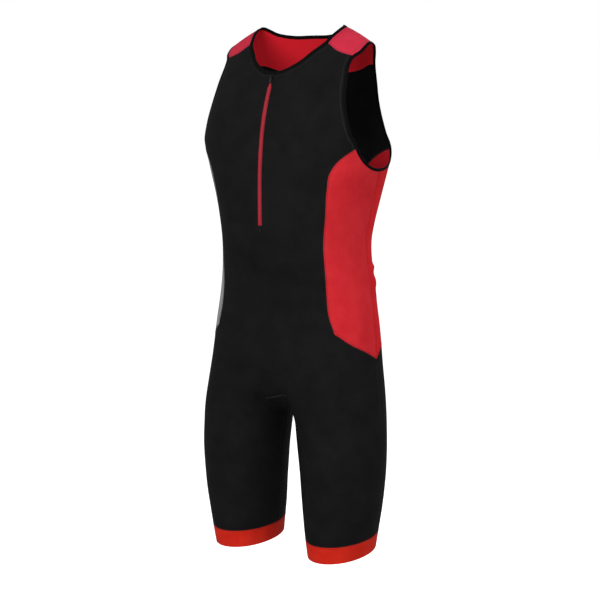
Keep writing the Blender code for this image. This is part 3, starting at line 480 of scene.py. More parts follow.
def front_blocks(slit):
    """Blocks of the front: chest, waist, belly, hip and leg front, from the centre out."""
    neck = NECK_FRONT.copy()
    neck[-1] = slit[0]
    neckline = run(neck, NECK_AT_YOKE, len(neck) - 1, NECKLINE_ROWS)
    slit_rows = len(ZIP_LEVELS) - 1
    upper_slit, lower_slit = slit[:slit_rows * FINE + 1], slit[slit_rows * FINE:]
    armhole = run(ARMHOLE_FRONT, ARM_AT_YOKE, FRONT_ARM_AT_PANEL, NECKLINE_ROWS + slit_rows)
    chest_line = line(upper_slit[-1], armhole[-1], CHEST_COLUMNS)
    chest = block(join(neckline, upper_slit), armhole, whole(YOKE_FRONT, CHEST_COLUMNS),
                  chest_line)
    upper_edge, lower_edge = panel_edges(SIDE_EDGE)
    waist_line = line(lower_slit[-1], upper_edge[-1], CHEST_COLUMNS)
    waist = block(lower_slit, upper_edge, chest_line, waist_line)
    middle = line((0.0, ZIP_FOOT_LEVEL), (0.0, BELLY_LEVEL), LOWER_SIDE_ROWS)
    centre = middle.copy()
    centre[:FINE + 1, 0] = np.linspace(lower_slit[-1, 0], 0, FINE + 1)
    closing = np.stack([middle[:FINE + 1], centre[:FINE + 1]], 1)
    belly_line = line(centre[-1], lower_edge[-1], CHEST_COLUMNS)
    belly = block(centre, lower_edge, waist_line, belly_line)
    foot = whole(SIDE_FOOT, SIDE_COLUMNS)
    hip_line = line((0.0, -1.0), (90.0, -1.0), CHEST_COLUMNS + SIDE_COLUMNS)
    hip = block(line(centre[-1], (0.0, -1.0), HIP_ROWS), line(foot[-1], (90.0, -1.0), HIP_ROWS),
                join(belly_line, foot), hip_line)
    return [chest, waist, closing, belly, hip,
            *leg_blocks(hip_line[:, 0], finer(INNER_FRONT_ANGLES), True)]


def back_blocks():
    """Blocks of the back, from the side inwards to the centre back."""
    yoke_seam = whole(YOKE_BACK, CHEST_COLUMNS)
    armhole = run(ARMHOLE_BACK, ARM_AT_YOKE, BACK_ARM_AT_PANEL, ARMHOLE_BACK_ROWS)
    centre = line(yoke_seam[-1], (180.0, BACK_CHEST_LEVEL), ARMHOLE_BACK_ROWS)
    chest_line = line(armhole[-1], centre[-1], CHEST_COLUMNS)
    upper = block(armhole, centre, yoke_seam, chest_line)
    edge = join(*panel_edges(REAR_EDGE))
    middle = line(centre[-1], (180.0, BELLY_LEVEL), UPPER_SIDE_ROWS + LOWER_SIDE_ROWS)
    belt_line = line(edge[-1], middle[-1], CHEST_COLUMNS)
    lower = block(edge, middle, chest_line, belt_line)
    foot = mirror_back(whole(SIDE_FOOT, SIDE_COLUMNS))[::-1]
    hip_line = line((90.0, -1.0), (180.0, -1.0), CHEST_COLUMNS + SIDE_COLUMNS)
    seat = block(line(foot[0], (90.0, -1.0), HIP_ROWS), line(middle[-1], (180.0, -1.0), HIP_ROWS),
                 join(foot, belt_line), hip_line)
    return [upper, lower, seat,
            *leg_blocks(hip_line[:, 0], BACK_AND_FRONT - finer(INNER_FRONT_ANGLES)[::-1], False)]


def leg_blocks(outside, inside, inseam_first):
    """A leg's front or back: the fork and the lower leg, with the gusset's cells left out."""
    legs = [straight_block(angles, leg_levels()) for angles in (outside, inside)]
    inner = straight_block(inside, finer(FORK_LEVELS))
    cut = GUSSET_COLUMNS * FINE
    beside, under = ((slice(cut, None), slice(None, cut + 1)) if inseam_first
                     else (slice(None, -cut), slice(-cut - 1, None)))
    return [straight_block(outside, finer(FORK_LEVELS)), *legs,
            inner[:, beside], inner[GUSSET_ROWS * FINE:, under]]


def panel_edges(table):
    """Front or rear edge of the side panel: its upper part, then its lower part."""
    return (run(table, 0, SIDE_AT_ZIP_FOOT, UPPER_SIDE_ROWS),
            run(table, SIDE_AT_ZIP_FOOT, len(table) - 1, LOWER_SIDE_ROWS))


def side_blocks():
    """The side panel's front and rear halves, which meet at the side seam."""
    edge, rear_edge = (join(*panel_edges(table)) for table in (SIDE_EDGE, REAR_EDGE))
    top = run(ARMHOLE_FRONT, FRONT_ARM_AT_PANEL, len(ARMHOLE_FRONT) - 1, SIDE_COLUMNS)
    foot = whole(SIDE_FOOT, SIDE_COLUMNS)
    seam = line(top[-1], foot[-1], UPPER_SIDE_ROWS + LOWER_SIDE_ROWS)
    rear_top = run(ARMHOLE_BACK, BACK_ARM_AT_PANEL, len(ARMHOLE_BACK) - 1, SIDE_COLUMNS)[::-1]
    return (block(edge, seam, top, foot),
            block(seam, rear_edge, rear_top, mirror_back(foot)[::-1]))


def yoke_blocks():
    """Strap in front of the ridge, strap behind it, and the wide part across the back."""
    front_strap = block(run(NECK_FRONT, 0, NECK_AT_YOKE, YOKE_ROWS),
                        run(ARMHOLE_FRONT, 0, ARM_AT_YOKE, YOKE_ROWS),
                        line(NECK_FRONT[0], ARMHOLE_FRONT[0], CHEST_COLUMNS),
                        whole(YOKE_FRONT, CHEST_COLUMNS))
    across = line(ARMHOLE_BACK[ARM_AT_YOKE], NECK_BACK[NECK_AT_STRAP], CHEST_COLUMNS)
    rear_strap = block(run(ARMHOLE_BACK, 0, ARM_AT_YOKE, YOKE_ROWS),
                       run(NECK_BACK, 0, NECK_AT_STRAP, YOKE_ROWS),
                       line(ARMHOLE_BACK[0], NECK_BACK[0], CHEST_COLUMNS), across)
    neckline = run(NECK_BACK, NECK_AT_STRAP, len(NECK_BACK) - 1, CHEST_COLUMNS)
    seam = whole(YOKE_BACK, CHEST_COLUMNS)
    wide = block(across[::-1], line(neckline[-1], seam[-1], CHEST_COLUMNS), neckline, seam)
    return [front_strap, rear_strap, wide]


def straight_block(angles, levels):
    """Places at every level and angle given."""
    angles, levels = np.meshgrid(angles, levels)
    return np.stack([angles, levels], -1)


def band_level():
    """Level of the seam on top of the leg band."""
    return -3.0 + BAND_HEIGHT / (THIGH_HEIGHT - HEM_HEIGHT)


def leg_levels():
    """Levels of the leg's rows from the thigh line to the top of the band."""
    return np.linspace(-2.0, band_level(), LEG_ROWS * 2 * FINE + 1)


def gusset_block():
    """The gusset's half: the cells beside the crotch curve on both sides of the inseam."""
    front = finer(INNER_FRONT_ANGLES)[:GUSSET_COLUMNS * FINE + 1]
    angles = np.concatenate([BACK_AND_FRONT - front[:0:-1], front])
    return straight_block(angles, finer(FORK_LEVELS)[:GUSSET_ROWS * FINE + 1])


def band_block():
    """The elastic band round the leg end, one closed ring."""
    outer = finer(np.linspace(0, 180, 2 * (CHEST_COLUMNS + SIDE_COLUMNS) + 1))
    inner = finer(INNER_FRONT_ANGLES)
    angles = np.concatenate([outer, BACK_AND_FRONT - inner[::-1][1:], inner[1:]])
    return straight_block(angles, np.linspace(band_level(), -3.0, 2 * FINE + 1))


# ---- cloth shell ----

def cut_plan():
    """Every cloth piece with its blocks on the left (1) and right (-1) half."""
    slit = zip_edge()
    side_front, side_back = side_blocks()
    both = {"front": front_blocks(slit), "back": back_blocks(), "yoke": yoke_blocks(),
            "crotch_gusset": [gusset_block()]}
    plan = [(name, side, places) for name, group in both.items() for side in (1, -1)
            for places in group]
    for side, word in HALVES:
        plan += [(f"side_front_{word}", side, side_front), (f"side_back_{word}", side, side_back),
                 (f"leg_band_{word}", side, band_block())]
    share = np.linspace(0, 1, TAPE_LINES)[None, :, None]
    middle = slit * (0, 1)
    tape = middle[:, None] * (1 - share) + slit[:, None] * share
    return plan + [("zip_tape", side, tape) for side in (1, -1)]


def weave_shell(plan):
    """All blocks as one mesh with shared corners: points, cells, owners and flat places."""
    points, cells, flats, owners = [], [], [], []
    count = 0
    for name, side, places in plan:
        grid = surface(places) * np.array([side, 1, 1])
        flat = places * np.array([side * DEGREE_LENGTH, LEVEL_LENGTH])
        rows, columns = grid.shape[:2]
        index = np.arange(rows * columns).reshape(rows, columns)
        quad = np.stack([index[:-1, :-1], index[1:, :-1], index[1:, 1:], index[:-1, 1:]], -1)
        quad = quad.reshape(-1, 4)[:, ::side]
        cells.append(quad + count)
        flats.append(flat.reshape(-1, 2)[quad])
        owners += [name] * len(quad)
        points.append(grid.reshape(-1, 3))
        count += rows * columns
    points, cells = np.vstack(points), np.vstack(cells)
    _, first, same = np.unique(np.round(points / SAME_POINT) + 0.0, axis=0, return_index=True,
                               return_inverse=True)
    return points[first], same.reshape(-1)[cells], np.array(owners), np.vstack(flats)


def corner_normals(points, cells):
    """Outward direction at each point: the area-weighted mean of its cells' normals."""
    normals = np.zeros_like(points)
    across = points[cells[:, 2]] - points[cells[:, 0]]
    down = points[cells[:, 3]] - points[cells[:, 1]]
    for corner in range(4):
        np.add.at(normals, cells[:, corner], np.cross(across, down))
    return unit(normals)


def eased(points, cells, middle, reach, passes):
    """Points near a middle drawn towards the mean of their neighbours, pass by pass.

    Each pass moves a point half way there, times a bell curve of its distance away.
    """
    share = np.exp(-(np.linalg.norm((points - middle) / reach, axis=1)) ** 2)[:, None] / 2
    starts, stops = cells.ravel(), np.roll(cells, -1, axis=1).ravel()
    real = starts != stops
    ends = np.concatenate([starts[real], stops[real]])
    others = np.concatenate([stops[real], starts[real]])
    count = np.bincount(ends, minlength=len(points))[:, None]
    for _ in range(passes):
        mean = np.stack([np.bincount(ends, points[others, axis], len(points))
                         for axis in range(3)], -1) / count
        points = points + (mean - points) * share
    return points


def creased(points, normals):
    """Points moved by the creases, along their normals.

    A crease follows a parabola (a straight line plus its bow) on one face; its height is
    its depth times a bell curve of the distance from that line, eased off to both ends,
    and times how squarely the cloth looks out of that face. A slow ripple of three sines
    keeps the rest from lying dead flat.
    """
    x, y, z = points.T / MILLIMETRE
    (over, up, high, deep), (fine_deep, fine_up) = RIPPLE_LENGTHS
    lift = (RIPPLE_HEIGHTS[0] * np.sin(x / over + z / up) * np.sin(z / high - y / deep)
            + RIPPLE_HEIGHTS[1] * np.sin(y / fine_deep + z / fine_up))
    for face, across0, height0, across1, height1, bow, width, depth in CREASES:
        axis, way = FACES[int(face)]
        here = points[:, axis] / MILLIMETRE - across0, z - height0
        long = np.hypot(across1 - across0, height1 - height0)
        ahead = (across1 - across0) / long, (height1 - height0) / long
        t = (here[0] * ahead[0] + here[1] * ahead[1]) / long
        aside = here[1] * ahead[0] - here[0] * ahead[1] - bow * 4 * t * (1 - t)
        ease = np.clip(4 * t * (1 - t), 0, 1) ** EASE_POWER
        squarely = np.clip(normals @ np.array(way), 0, 1) ** SQUARE_POWER
        lift += depth * ease * squarely * np.exp(-(aside / width) ** 2)
    return points + normals * (lift * MILLIMETRE)[:, None]


def seam_points(cells, owners, count):
    """True at the points where two pieces meet."""
    pieces, owner = np.unique(owners, return_inverse=True)
    touched = np.zeros((count, len(pieces)), bool)
    for corner in range(4):
        touched[cells[:, corner], owner] = True
    return touched.sum(1) > 1


def wall(name, points, normals, cells, flats, thickness, material):
    """A closed wall: the cells, their copy moved in by the thickness, and a rim between."""
    used, cells = np.unique(cells, return_inverse=True)
    cells = cells.reshape(-1, 4)
    outer = points[used]
    inner = outer - normals[used] * thickness
    count = len(used)
    start, stop = cells.ravel(), np.roll(cells, -1, axis=1).ravel()
    real = start != stop
    code, mirrored = start * count + stop, stop * count + start
    open_edge = real & ~np.isin(code, mirrored[real])
    rim = np.stack([stop, start, start + count, stop + count], -1)[open_edge]
    edge_flat, next_flat = flats.reshape(-1, 2), np.roll(flats, -1, axis=1).reshape(-1, 2)
    rim_flat = np.stack([next_flat, edge_flat, edge_flat, next_flat], 1)[open_edge]
    faces = np.vstack([cells, cells[:, ::-1] + count, rim])
    piece = new_piece(name, np.vstack([outer, inner]), faces,
                      np.vstack([flats, flats[:, ::-1], rim_flat]), material)
    # The inner copy is marked, so that the knits can paint light onto it with a lighter colour.
    painted_inside_light = piece.data.attributes.new("painted_inside_light", "FLOAT", "POINT")
    painted_inside_light.data.foreach_set("value", np.repeat([0.0, 1.0], count).astype(np.float32))
    return piece


def new_piece(name, points, faces, flats, material, sharp=50.0):
    """A mesh object from quads; a quad with a repeated corner is left as a triangle."""
    keep = faces != np.roll(faces, 1, axis=1)
    sizes = keep.sum(1)
    mesh = bpy.data.meshes.new(name)
    mesh.vertices.add(len(points))
    mesh.vertices.foreach_set("co", np.ascontiguousarray(points, np.float32).ravel())
    mesh.loops.add(int(sizes.sum()))
    mesh.loops.foreach_set("vertex_index", faces[keep].astype(np.int32))
    mesh.polygons.add(len(faces))
    mesh.polygons.foreach_set("loop_start", (np.cumsum(sizes) - sizes).astype(np.int32))
    mesh.update(calc_edges=True)
    layer = mesh.uv_layers.new(name="cloth")
    layer.data.foreach_set("uv", flats[keep].astype(np.float32).ravel())
    mesh.polygons.foreach_set("use_smooth", np.ones(len(faces), bool))
    mesh.set_sharp_from_angle(angle=math.radians(sharp))
    mesh.validate()
    mesh.materials.append(material)
    piece = bpy.data.objects.new(name, mesh)
    bpy.context.scene.collection.objects.link(piece)
    return piece


# ---- bindings and stitching ----

def seam_line(places, side=1):
    """Points, outward directions and sideways directions along a line of places.

    Sideways is the cross product of the outward direction and the way ahead.
    """
    mirror = np.array([side, 1, 1])
    points, normals = surface(places), facing(places)
    aside = unit(np.cross(normals, np.gradient(points, axis=0)))
    points, normals, aside = points * mirror, normals * mirror, aside * mirror
    return creased(points, normals), normals, aside


def rounded_profile(width, thickness, corners=16):
    """Section of a folded tape: a superellipse of power 3, width by thickness."""
    turn = np.linspace(0, 2 * np.pi, corners, endpoint=False)
    power = 2 / 3
    across = np.sign(np.cos(turn)) * np.abs(np.cos(turn)) ** power * width / 2
    depth = np.sign(np.sin(turn)) * np.abs(np.sin(turn)) ** power * thickness / 2
    return across, depth


def quads(grid):
    """The four corners of every cell of a grid."""
    return np.stack([grid[:-1, :-1], grid[:-1, 1:], grid[1:, 1:], grid[1:, :-1]], 2)


def sweep(name, path, profile, ring, material):
    """A profile carried along a path: each of its points is the path's point plus its share
    of the sideways and outward directions. A ring closes on itself, a strip gets two ends."""
    points, normals, aside = path
    across, depth = profile
    grid = (points[:, None] + aside[:, None] * across[None, :, None]
            + normals[:, None] * depth[None, :, None])
    rows, columns = grid.shape[:2]
    index = np.arange(rows * columns).reshape(rows, columns)
    if ring:
        index = np.vstack([index, index[:1]])
    index = np.column_stack([index, index[:, :1]])
    length = lengths(points)
    length = np.append(length, length[-1] + length[1])[:len(index)]
    flat = np.stack(np.meshgrid(np.arange(columns + 1) * MILLIMETRE, length), -1)
    faces, flats = quads(index).reshape(-1, 4), quads(flat).reshape(-1, 4, 2)
    if not ring:
        low = np.arange(columns // 2)
        cap = np.stack([low, low + 1, columns - 1 - low, (columns - low) % columns], -1)
        faces = np.vstack([faces, cap[:, ::-1], cap + (rows - 1) * columns])
        flats = np.vstack([flats, np.zeros((len(faces) - len(flats), 4, 2))])
    points = grid.reshape(-1, 3)
    if signed_volume(points, faces) < 0:
        faces, flats = faces[:, ::-1], flats[:, ::-1]
    return new_piece(name, points, faces, flats, material)


def signed_volume(points, faces):
    """Volume inside the faces, above 0 where they look outwards: a sum of tetrahedra."""
    first, second, third, fourth = (points[faces[:, corner]] for corner in range(4))
    return (np.einsum("ij,ij", first, np.cross(second, third))
            + np.einsum("ij,ij", first, np.cross(third, fourth))) / 6


def shifted(path, across=0.0, out=0.0):
    """A path moved sideways and outwards."""
    points, normals, aside = path
    return points + aside * across + normals * out, normals, aside


def smooth_line(path, passes=3):
    """The path with its points and directions averaged with their neighbours' a few times."""
    points, normals, aside = (np.array(part) for part in path)
    for _ in range(passes):
        for part in (points, normals, aside):
            part[1:-1] = (part[:-2] + 2 * part[1:-1] + part[2:]) / 4
    return points, unit(normals), unit(aside)


def laid(points, shell, directions, side=1):
    """A path laid on the cloth: each point goes to a mean of the cloth's points, weighted by
    a bell curve of how much farther away they are than the nearest, in squares."""
    gap = ((points[:, None] - shell[None]) ** 2).sum(axis=2)
    weight = np.exp(-(gap - gap.min(axis=1, keepdims=True)) / LAID_REACH ** 2)
    weight /= weight.sum(axis=1, keepdims=True)
    on_cloth, normals = weight @ shell, unit(weight @ directions)
    aside = unit(np.cross(normals, np.gradient(on_cloth, axis=0)) * side)
    return smooth_line((on_cloth, normals, aside))


def neck_path():
    """Neck opening from the zip over the left strap to the centre back, then its mirror."""
    front = whole(NECK_FRONT, 12)[::-1]
    front[0, 0] = NECK_START
    back = whole(NECK_BACK, 8)
    left = smooth_line([np.vstack([a, b[1:]]) for a, b in zip(seam_line(front), seam_line(back))])
    mirror = np.array([-1, 1, 1])
    for part in left:
        part[-1, 0] = 0.0
    return [np.vstack([part, (part * mirror)[::-1][1:]]) for part in left]


def armhole_path(side):
    """Armhole from the shoulder ridge down the front and up the back to the ridge again."""
    front, back = whole(ARMHOLE_FRONT, 14), whole(ARMHOLE_BACK, 14)[::-1]
    parts = [np.vstack([a[1:], b[1:]])
             for a, b in zip(seam_line(front, side), seam_line(back, side))]
    spare = 4
    padded = smooth_line([np.vstack([part[-spare:], part, part[:spare]]) for part in parts])
    return [part[spare:-spare] for part in padded]


def binding(name, path, size, ring, material):
    """Folded tape on the edge of an opening, its middle half its width beyond the seam."""
    width, thickness = size
    middle = shifted(path, across=width / 2 - BINDING_TUCK, out=-KNIT_WALL / 2)
    return sweep(name, middle, rounded_profile(width, thickness), ring, material)


def frames(path, pitch, spare):
    """Places at an even pitch along a path, with the directions outwards, aside and ahead."""
    at = lengths(path[0])
    places = np.arange(pitch, at[-1] - spare, pitch)
    middle, out, side = (np.column_stack([np.interp(places, at, part[:, axis])
                                          for axis in range(3)]) for part in path)
    return middle, out, side, np.cross(side, out)


def strewn(name, places, shape, material, sharp=50.0):
    """A small closed form at each place: shape is its rings of four (aside, ahead, out)."""
    middle, out, side, ahead = (np.vstack(part) for part in zip(*places))
    points = (middle[:, None] + side[:, None] * shape[None, :, :1]
              + ahead[:, None] * shape[None, :, 1:2] + out[:, None] * shape[None, :, 2:])
    ring, last = np.arange(4), len(shape) - 4
    after = (ring + 1) % 4
    tube = [np.stack([ring, after, after + 4, ring + 4], -1) + row for row in range(0, last, 4)]
    form = np.vstack(tube + [ring[None, ::-1], ring[None] + last])
    faces = (form[None] + (np.arange(len(points)) * len(shape))[:, None, None]).reshape(-1, 4)
    points = points.reshape(-1, 3)
    if signed_volume(points - points[0], faces[:len(form)]) < 0:
        faces = faces[:, ::-1]
    return new_piece(name, points, faces, np.zeros((len(faces), 4, 2)), material, sharp)


def stitch_rows(name, paths, rows, material, lift):
    """Rows of stitches along paths: each stitch is a bead of four rings, thin at its ends."""
    step = STITCH["long"] + STITCH["gap"]
    along = np.repeat([-0.5, -0.25, 0.25, 0.5], 4) * STITCH["long"]
    swell = np.repeat([0.35, 1.0, 1.0, 0.35], 4) * STITCH["wide"]
    turn = np.tile(np.arange(4) * np.pi / 2, 4)
    shape = np.column_stack([np.cos(turn) * swell / 2, along, np.sin(turn) * swell / 2])
    places = [frames(shifted(path, across, lift), step, step / 2)
              for path in paths for across in rows]
    return strewn(name, places, shape, material)


def gusset_lines(cloth_near, side):
    """Paths round the gusset on one half: its edge and its rear end."""
    front_end = GUSSET_END, FORK_LEVELS[GUSSET_ROWS]
    rear_end = BACK_AND_FRONT - GUSSET_END, FORK_LEVELS[GUSSET_ROWS]
    edge = [line(front_end, rear_end, 40), line(rear_end, (rear_end[0], -1 - JUST), 8)]
    return [laid(seam_line(places, side)[0], *cloth_near, side) for places in edge]


def seam_lines(side):
    """Paths of the visible seams on one half: the black ones, the side seam and the bands'."""
    top = band_level()
    black = [whole(YOKE_FRONT, 10), whole(YOKE_BACK, 20), join(*panel_edges(SIDE_EDGE)),
             join(*panel_edges(REAR_EDGE)), whole(SIDE_FOOT, 8), mirror_back(whole(SIDE_FOOT, 8)),
             line((90.0, -0.99), (90.0, -1.0), 1), line((90.0, -1 - JUST), (90.0, top), 30)]
    panel = [line(ARMHOLE_FRONT[-1], SIDE_FOOT[-1], 20)]
    band = [line((0.0, top), (180.0, top), 24), line((180.001, top), (359.999, top), 20)]
    return [[seam_line(places, side) for places in group] for group in (black, panel, band)]


# ---- zip ----

TOOTH_PITCH = 0.0016        # coil teeth; the real pitch of about 1.2 mm, drawn a little coarser
TOOTH_SIZE = (0.0024, 0.0010, 0.0008)       # across, along, high
TOOTH_RINGS = (((1.0, 1.0), -0.4), ((1.0, 1.0), 0.3), ((0.8, 0.5), 0.6))    # narrowing, level


def zip_line():
    """Middle of the zip from where the placket opens down to the foot."""
    level = np.linspace(ZIP_OPENS[0], ZIP_FOOT_LEVEL, 120)
    return seam_line(np.column_stack([np.full_like(level, ZIP_MIDDLE), level]))


def coil(name, material):
    """Zip coil: a row of bars across the middle of the zip, each narrowed towards its top."""
    across, along, high = TOOTH_SIZE
    corner = np.array([(-1, -1), (1, -1), (1, 1), (-1, 1)]) / 2 * (across, along)
    shape = np.vstack([np.column_stack([corner * narrowed, np.full(4, high * level)])
                       for narrowed, level in TOOTH_RINGS])
    return strewn(name, [frames(zip_line(), TOOTH_PITCH, TOOTH_PITCH)], shape, material, 35.0)


# ---- materials ----

def colour(code):
    """Linear colour for an sRGB hex value."""
    share = np.array([int(code[place:place + 2], 16) for place in (0, 2, 4)]) / 255
    linear = np.where(share <= 0.04045, share / 12.92, ((share + 0.055) / 1.055) ** 2.4)
    return (*(float(value) for value in linear), 1.0)


def add_node(tree, kind, settings=(), links=()):
    """A node with its settings (inputs or properties) and its links (input, output socket)."""
    made = tree.nodes.new(kind)
    for name, value in dict(settings).items():
        if isinstance(name, int) or name in made.inputs:
            made.inputs[name].default_value = value
        else:
            setattr(made, name, value)
    for name, source in dict(links).items():
        tree.links.new(source, made.inputs[name])
    return made


def new_material(name, settings):
    """A material with its Principled shader's settings; returns it with its tree and shader."""
    material = bpy.data.materials.new(name)
    material.use_nodes = True
    shader = material.node_tree.nodes["Principled BSDF"]
    for socket, value in settings.items():
        shader.inputs[socket].default_value = value
    return material, material.node_tree, shader


def bumped(tree, shader, height, strength, distance):
    """A bump from a height, joined to the shader."""
    bump = add_node(tree, "ShaderNodeBump", {"Strength": strength, "Distance": distance},
                    {"Height": height})
    tree.links.new(bump.outputs["Normal"], shader.inputs["Normal"])


def clouds(tree, place, scale, detail, roughness=0.5):
    """Noise over the piece's own place: scale is its cells in a metre."""
    return add_node(tree, "ShaderNodeTexNoise",
                    {"Scale": scale, "Detail": detail, "Roughness": roughness},
                    {"Vector": place.outputs["Object"]}).outputs["Fac"]


def ribs(tree, source, period, way):
    """Even ribs with a period in metres: a wave texture repeats 20 / 2 pi times per scale."""
    return add_node(tree, "ShaderNodeTexWave",
                    {"wave_type": "BANDS", "bands_direction": way, "wave_profile": "SIN",
                     "Scale": 2 * math.pi / (20 * period), "Distortion": 0.0},
                    {"Vector": source}).outputs["Fac"]


def knit(name, shade, light, roughness, painted_inside_light=None, rib=(0.0013, 0.0011), relief=0.00016):
    """Stretch knit: two colours clouded together, and loops as crossed ribs in the bump.

    The loops of the real cloth are about half a millimetre wide and are drawn coarser, so
    that they show. The inner face may take a lighter colour: painted light, standing for light
    that falls in through the openings.
    """
    material, tree, shader = new_material(name, {
        "Roughness": roughness, "IOR": 1.46, "Specular IOR Level": 0.03})
    flat = add_node(tree, "ShaderNodeUVMap", {"uv_map": "cloth"}).outputs["UV"]
    place = add_node(tree, "ShaderNodeTexCoord")
    both = add_node(tree, "ShaderNodeMath", {"operation": "MULTIPLY_ADD", 1: 0.5},
                    {0: clouds(tree, place, 900.0, 1.0), 2: clouds(tree, place, 26.0, 3.0, 0.6)})
    ramp = add_node(tree, "ShaderNodeMapRange",
                    {"From Min": 0.45, "From Max": 1.05}, {"Value": both.outputs[0]})
    mix = add_node(tree, "ShaderNodeMix",
                   {"data_type": "RGBA", 6: colour(shade), 7: colour(light)},
                   {0: ramp.outputs["Result"]})
    # Painted light: the inner face takes its own lighter colour, standing for light that falls in
    # through the openings.
    if painted_inside_light:
        inside = add_node(tree, "ShaderNodeAttribute", {"attribute_name": "painted_inside_light"})
        mix = add_node(tree, "ShaderNodeMix", {"data_type": "RGBA", 7: colour(painted_inside_light)},
                       {0: inside.outputs["Fac"], 6: mix.outputs[2]})
    tree.links.new(mix.outputs[2], shader.inputs["Base Color"])
    loops = add_node(tree, "ShaderNodeMath", {"operation": "MULTIPLY"},
                     {0: ribs(tree, flat, rib[0], "X"), 1: ribs(tree, flat, rib[1], "Y")})
    bumped(tree, shader, loops.outputs[0], 0.6, relief)
    return material


def plain_yarn(name, shade, roughness=0.7):
    """Thread or coil: one colour with a fine twist in the bump."""
    material, tree, shader = new_material(name, {
        "Base Color": colour(shade), "Roughness": roughness, "IOR": 1.5,
        "Specular IOR Level": 0.3})
    place = add_node(tree, "ShaderNodeTexCoord")
    bumped(tree, shader, clouds(tree, place, 1500.0, 1.0), 0.5, 0.0001)
    return material


def lacquered_metal(name, shade):
    """Die-cast zinc under black lacquer: a dark, smooth coat with small soft highlights."""
    material, tree, shader = new_material(name, {
        "Base Color": colour(shade), "Metallic": 0.4, "Roughness": 0.32, "Coat Weight": 0.3,
        "Coat Roughness": 0.2})
    place = add_node(tree, "ShaderNodeTexCoord")
    bumped(tree, shader, clouds(tree, place, 700.0, 2.0), 0.25, 0.00005)
    return material


def make_materials():
    """Every finish of the suit, by name."""
    return {
        # Warp-knit polyamide with elastane: dyed yarn, dull, with hardly any highlight.
        "black": knit("warp_knit_black", "0E0E0F", "161617", 0.70),
        # Dyed red on its face; the inner face is a lighter, clearer scarlet: painted light,
        # standing for light that falls inside the neck and armholes.
        "red": knit("warp_knit_red", "A81B22", "BC282F", 0.66, "D4202C"),
        # The yoke takes a copy of the red knit, a little cooler and lighter: painted light on the
        # shoulders, which face up towards the lamps.
        "rose": knit("warp_knit_red_painted_lighter", "A82234", "B82D42", 0.66, "D4202C"),
        # The half behind the side seam turns away to the side and takes a more saturated copy of
        # the red: painted light at the rim.
        "deep": knit("warp_knit_red_painted_rim", "B2141B", "C22027", 0.66, "D4202C"),
        # Light grey of the other side, dull as the red.
        "grey": knit("warp_knit_light_grey", "7A7B7D", "88898B", 0.66),
        # Gripper elastic: a woven rubber-cored band, ribbed along its height, brighter dye.
        "band": knit("gripper_elastic_red", "AE1C12", "C42A1B", 0.62, None,
                     (0.0018, 0.0024), 0.00030),
        # Folded elastane tape: a denser knit than the panels, near black.
        "binding": knit("binding_knit_black", "060607", "0B0B0C", 0.70, None,
                        (0.0010, 0.0012)),
        # Woven polyester tape: flat and close, a deeper red than the coil on it.
        "tape": knit("zip_tape_polyester_red", "7E1E28", "94242F", 0.55, None,
                     (0.0009, 0.0012)),
        # Polyester monofilament: smoother than thread, so it takes a soft shine.
        "coil": plain_yarn("zip_coil_polyester_red", "A02634", 0.42),
        # Spun polyester thread: matt, each near the colour of the cloth that it sews.
        "black_thread": plain_yarn("thread_black", "161617"),
        "grey_thread": plain_yarn("thread_charcoal", "323234"),
        "pale_thread": plain_yarn("thread_mid_grey", "6A6B6E"),
        "red_thread": plain_yarn("thread_red", "9A0A14"),
        "wine_thread": plain_yarn("thread_wine", "3C0A10"),
        "rose_thread": plain_yarn("thread_rose", "C8606A"),
        "metal": lacquered_metal("lacquered_zinc_black", "101012"),
    }


# The yoke and the rear half of the left side panel take copies of the red with painted light.
FINISHES = {"front": "black", "back": "black", "yoke": "rose", "crotch_gusset": "black",
            "side_front_left": "red", "side_back_left": "deep", "side_front_right": "grey",
            "side_back_right": "grey", "leg_band_left": "band", "leg_band_right": "band",
            "zip_tape": "tape"}


# ---- pieces ----

def dress(piece, nodes=(), body="suit"):
    """Let a piece ride on a body and stand for its CAD nodes, which are hidden."""
    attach(piece, body)
    for node in nodes:
        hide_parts(node)
    return piece


def build_cloth(finish):
    """All cloth pieces, cut from one creased shell and drawn in along its seams.

    The cloth's points and directions near the crotch are returned with them.
    """
    points, cells, owners, flats = weave_shell(cut_plan())
    points = eased(points, cells, CROTCH_FRONT, CROTCH_REACH, CROTCH_PASSES)
    normals = corner_normals(points, cells)
    points = creased(points, normals)
    seams = seam_points(cells, owners, len(points))
    points -= normals * (seams * SEAM_SINK)[:, None]
    normals = corner_normals(points, cells)
    near = np.linalg.norm((points - CROTCH_FRONT) / CROTCH_NEAR, axis=1) < 1
    pieces = {}
    for name, family in FINISHES.items():
        mine = owners == name
        thickness = BAND_WALL if family == "band" else KNIT_WALL
        piece = wall(name + "_cloth", points, normals, cells[mine], flats[mine], thickness,
                     finish[family])
        pieces[name] = dress(piece, [name])
    return pieces, (points[near], normals[near])


